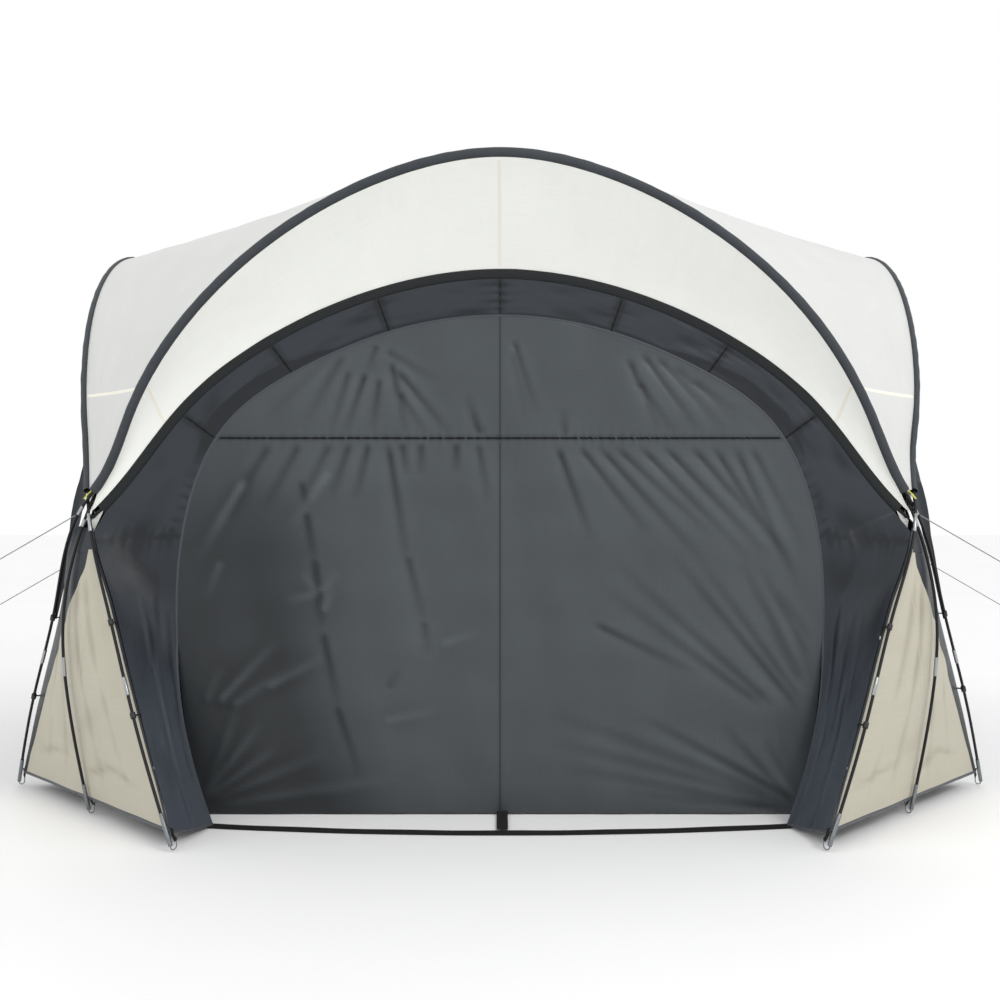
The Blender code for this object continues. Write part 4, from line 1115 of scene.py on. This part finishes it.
# Moulded nylon: near black, slightly satin.
black_nylon = new_material("black_moulded_nylon", "#19191A", roughness=0.42)
place = add_node(black_nylon, "ShaderNodeTexCoord")
grain = add_node(black_nylon, "ShaderNodeTexNoise", {"Vector": place.outputs["Object"], "Scale": 900})
relief = {"Height": grain.outputs["Fac"], "Distance": 0.0002, "Strength": 0.4}
feed(black_nylon, "Normal", add_node(black_nylon, "ShaderNodeBump", relief).outputs[0])

TAB_WIDTH = 0.018
CLIP_HALF_LENGTH = 0.011
CLIP_RADIUS = 0.0095
clips, tabs = [], []
for leg, levels in ((near_leg, (0.706, 0.388)), (far_leg, (0.722, 0.418))):
    for height in levels:
        at = leg(height)
        half_clip = unit(leg(height + 0.01) - leg(height - 0.01)) * CLIP_HALF_LENGTH
        clips.append(metal_tube(at - half_clip, at + half_clip, CLIP_RADIUS, black_nylon))
        fold = at - OUTWARD * behind(height)
        tab = [at - OUTWARD * 0.006, (at + fold) / 2, fold - OUTWARD * 0.002]
        tabs.append(webbing_strap(tab, TAB_WIDTH, 0.003, (0, 0, 1)))
for leg in LEGS:
    hem_point = leg(0.05) - OUTWARD * (0.0128 if leg is middle_leg else 0.016)
    hook_point = leg(0.02) - OUTWARD * 0.02 + (0, 0, 0.012)
    tab = [hem_point + (0, 0, 0.02), hem_point - OUTWARD * 0.002, hook_point]
    tabs.append(webbing_strap(tab, TAB_WIDTH, 0.002, OUTWARD))
all_round(joined(clips), CORNERS, "leg_clips")
all_round(strips_piece("leg_tabs", tabs, black_webbing), CORNERS, "leg_tabs")

# Corner gussets
# A strip of the grey cloth stands out beyond the poles on the right and left sides of the tent, where
# the guy ropes pull on it.
ARCH_END = 1.22
LEG_START = 1.02
GUSSET_HEIGHTS = (0.70, 0.75, 0.8, 0.9, 1.0, 1.1, 1.15, 1.2, 1.25, 1.30, 1.34)
GUSSET_WIDTHS = (0.008, 0.016, 0.018, 0.022, 0.032, 0.046, 0.048, 0.046, 0.038, 0.024, 0.004)


def beside_arch(height):
    return turned(place_at_height(ARCH, LEFT_NODE_AT, LEFT_NODE_AT + 0.6, height), 1) + (0.004, 0.012, 0)


def beside_leg(height):
    return far_leg(height) + (-0.004, 0.014, 0)


gusset = []
for height in np.linspace(1.34, 0.70, 45):
    share = np.clip((height - LEG_START) / (ARCH_END - LEG_START), 0, 1)
    inner = share * beside_arch(max(height, ARCH_END)) + (1 - share) * beside_leg(min(height, LEG_START))
    wide = np.interp(height, GUSSET_HEIGHTS, GUSSET_WIDTHS)
    shares = np.linspace(0, 1, 7)[:, None]
    gusset.append(inner + shares * wide * np.array((1, 0.45, 0)) + (0, 0.006, 0) * np.sin(pi * shares))
gusset = np.array(gusset)
# Painted shade all over the gussets.
even_painted_shade = np.full(gusset.shape[:2], 0.75)
for corner, x_way, y_way in zip(CORNERS, (1, 1, -1, -1), (1, -1, -1, 1)):
    mirrored = gusset * (x_way, y_way, 1)
    piece = sheet_piece(f"{corner}_gusset", mirrored, grey_taffeta, 0.002, shade=even_painted_shade)
    settle(piece)

# Ground straps
# Black webbing, 50 mm wide, lies on the ground across each doorway between the side panels, with a
# short tongue back to the middle of the door's hem.
STRAP_WIDTH = 0.05
STRAP_THICKNESS = 0.0025
STRAP_BOW = 0.085
TONGUE = ((-1.505, 0.012), (-1.53, 0.0075), (-1.60, 0.006), (-1.68, 0.0062), (-1.71, 0.006))
strap_reach = PANEL_FOOT[0] + 0.01
xs = np.linspace(-strap_reach, strap_reach, 80)
ys = PANEL_FOOT[1] - 0.03 + STRAP_WIDTH / 2 - STRAP_BOW * (1 - (xs / strap_reach) ** 2)
zs = STRAP_THICKNESS / 2 + 0.0002 + 0.0006 * (1 + np.sin(xs * 17 + 1))
band = webbing_strap(np.stack([xs, ys, zs], axis=1), STRAP_WIDTH, STRAP_THICKNESS, (0, 0, 1))
tongue = [(0.008, y, z) for y, z in TONGUE]
tongue = webbing_strap(tongue, 0.04, 0.0022, (0, 0, 1))
strap = strips_piece("strap", [band, tongue], black_webbing)
all_round(strap, SIDES, "webbing_strap", "ground_strap")

# Guy ropes
# Taut grey braided ropes run from the corners and the side walls to steel pegs in the ground. A black
# slider on each sets its length.
TIE_HEIGHT = 1.095
SIDE_TIE_HEIGHT = 1.22
POLE_CLEAR = 0.0024
WALL_CLEAR = 0.0037
ROPE_RADIUS = 0.002
ROPE_SAG = 0.006
SLIDER_RADIUS = 0.0055
PEG_WIRE_RADIUS = 0.0028
PEG_BEND = ((-0.006, -0.018), (-0.012, -0.004), (-0.004, 0.006), (0.004, 0), (0.003, -0.028))
CORNER_PEG = 3.42
BACK_PEG = (2.9, 1.94)
SIDE_PEG = 3.57
PEG_HEIGHT = 0.03
# Braided polyester: mid grey with diagonal strands.
braid = new_material("grey_braided_rope", "#8A8C8C", roughness=0.75)
ribbed(braid, 130, 0.3, ("#6E7071", "#A5A7A7"), height=0.0005, turn=radians(35))


def round_rope(start, end, radius):
    """Rings of a rope that sags a little between its ends."""
    share = np.linspace(0, 1, 40)[:, None]
    path = start + (end - start) * share - np.array((0, 0, ROPE_SAG)) * 4 * share * (1 - share)
    _, side, out = path_axes(path, (0, 1, 0.01))
    turns = (2 * pi * np.arange(8) / 8)[None, :, None]
    return path[:, None] + radius * (np.cos(turns) * out[:, None] + np.sin(turns) * side[:, None])


left_tie = place_at_height(ARCH, 0, LEFT_NODE_AT, TIE_HEIGHT)
ties = {"front_right": far_leg(TIE_HEIGHT), "front_left": left_tie,
        "back_right": turned(left_tie, 2), "back_left": turned(far_leg(TIE_HEIGHT), 2)}
runs = {}
for name, tie in ties.items():
    way = np.sign(tie[0])
    out, back = BACK_PEG if tie[1] > 0 else (CORNER_PEG, tie[1])
    runs[name] = (tie + (way * (POLE_RADIUS + POLE_CLEAR), 0, 0), np.array((way * out, back, PEG_HEIGHT)))
for name, way in (("left", -1), ("right", 1)):
    tie = np.array((way * (WALL_OUT + WALL_CLEAR), 0, SIDE_TIE_HEIGHT))
    runs[name] = (tie, np.array((way * SIDE_PEG, 0, PEG_HEIGHT)))
for name, (start, peg) in runs.items():
    rope = strips_piece(f"{name}_braided_rope", [round_rope(start, peg, ROPE_RADIUS)], braid)
    settle(rope, [f"{name}_guy_rope"])
    along = unit(peg - start)
    slide = start + (peg - start) * (0.12 if start[1] == 0 else 0.7)
    slider = metal_tube(slide - along * 0.02, slide + along * 0.02, SLIDER_RADIUS, black_nylon)
    slider.name = f"{name}_rope_slider"
    settle(slider)
    way = np.sign(peg[0])
    head = Spline([peg + (way * out, 0, up) for out, up in PEG_BEND])
    stake = bent_rod(head.read(np.linspace(0, head.knots[-1], 16)), PEG_WIRE_RADIUS, zinc)
    stake.name = f"{name}_peg"
    settle(stake)

# Corner tags
# A small yellow-green webbing tag is sewn into the tip of the roof at each corner, to show which poles
# meet there.
# Dyed polyester tape: bright, matt, with a fine rib.
tag_tape = new_material("yellow_green_tape", "#C9CC4A", roughness=0.7)
ribbed(tag_tape, 160, 0.5, ("#BCC03C", "#D8DA62"), height=0)
top = middle_leg(1.19) + OUTWARD * 0.014
low = middle_leg(1.155) + OUTWARD * 0.033
tag = webbing_strap([top, (top + low) / 2 + OUTWARD * 0.004, low], 0.012, 0.0016, OUTWARD)
all_round(strips_piece("corner_tag", [tag], tag_tape), CORNERS, "corner_tag")
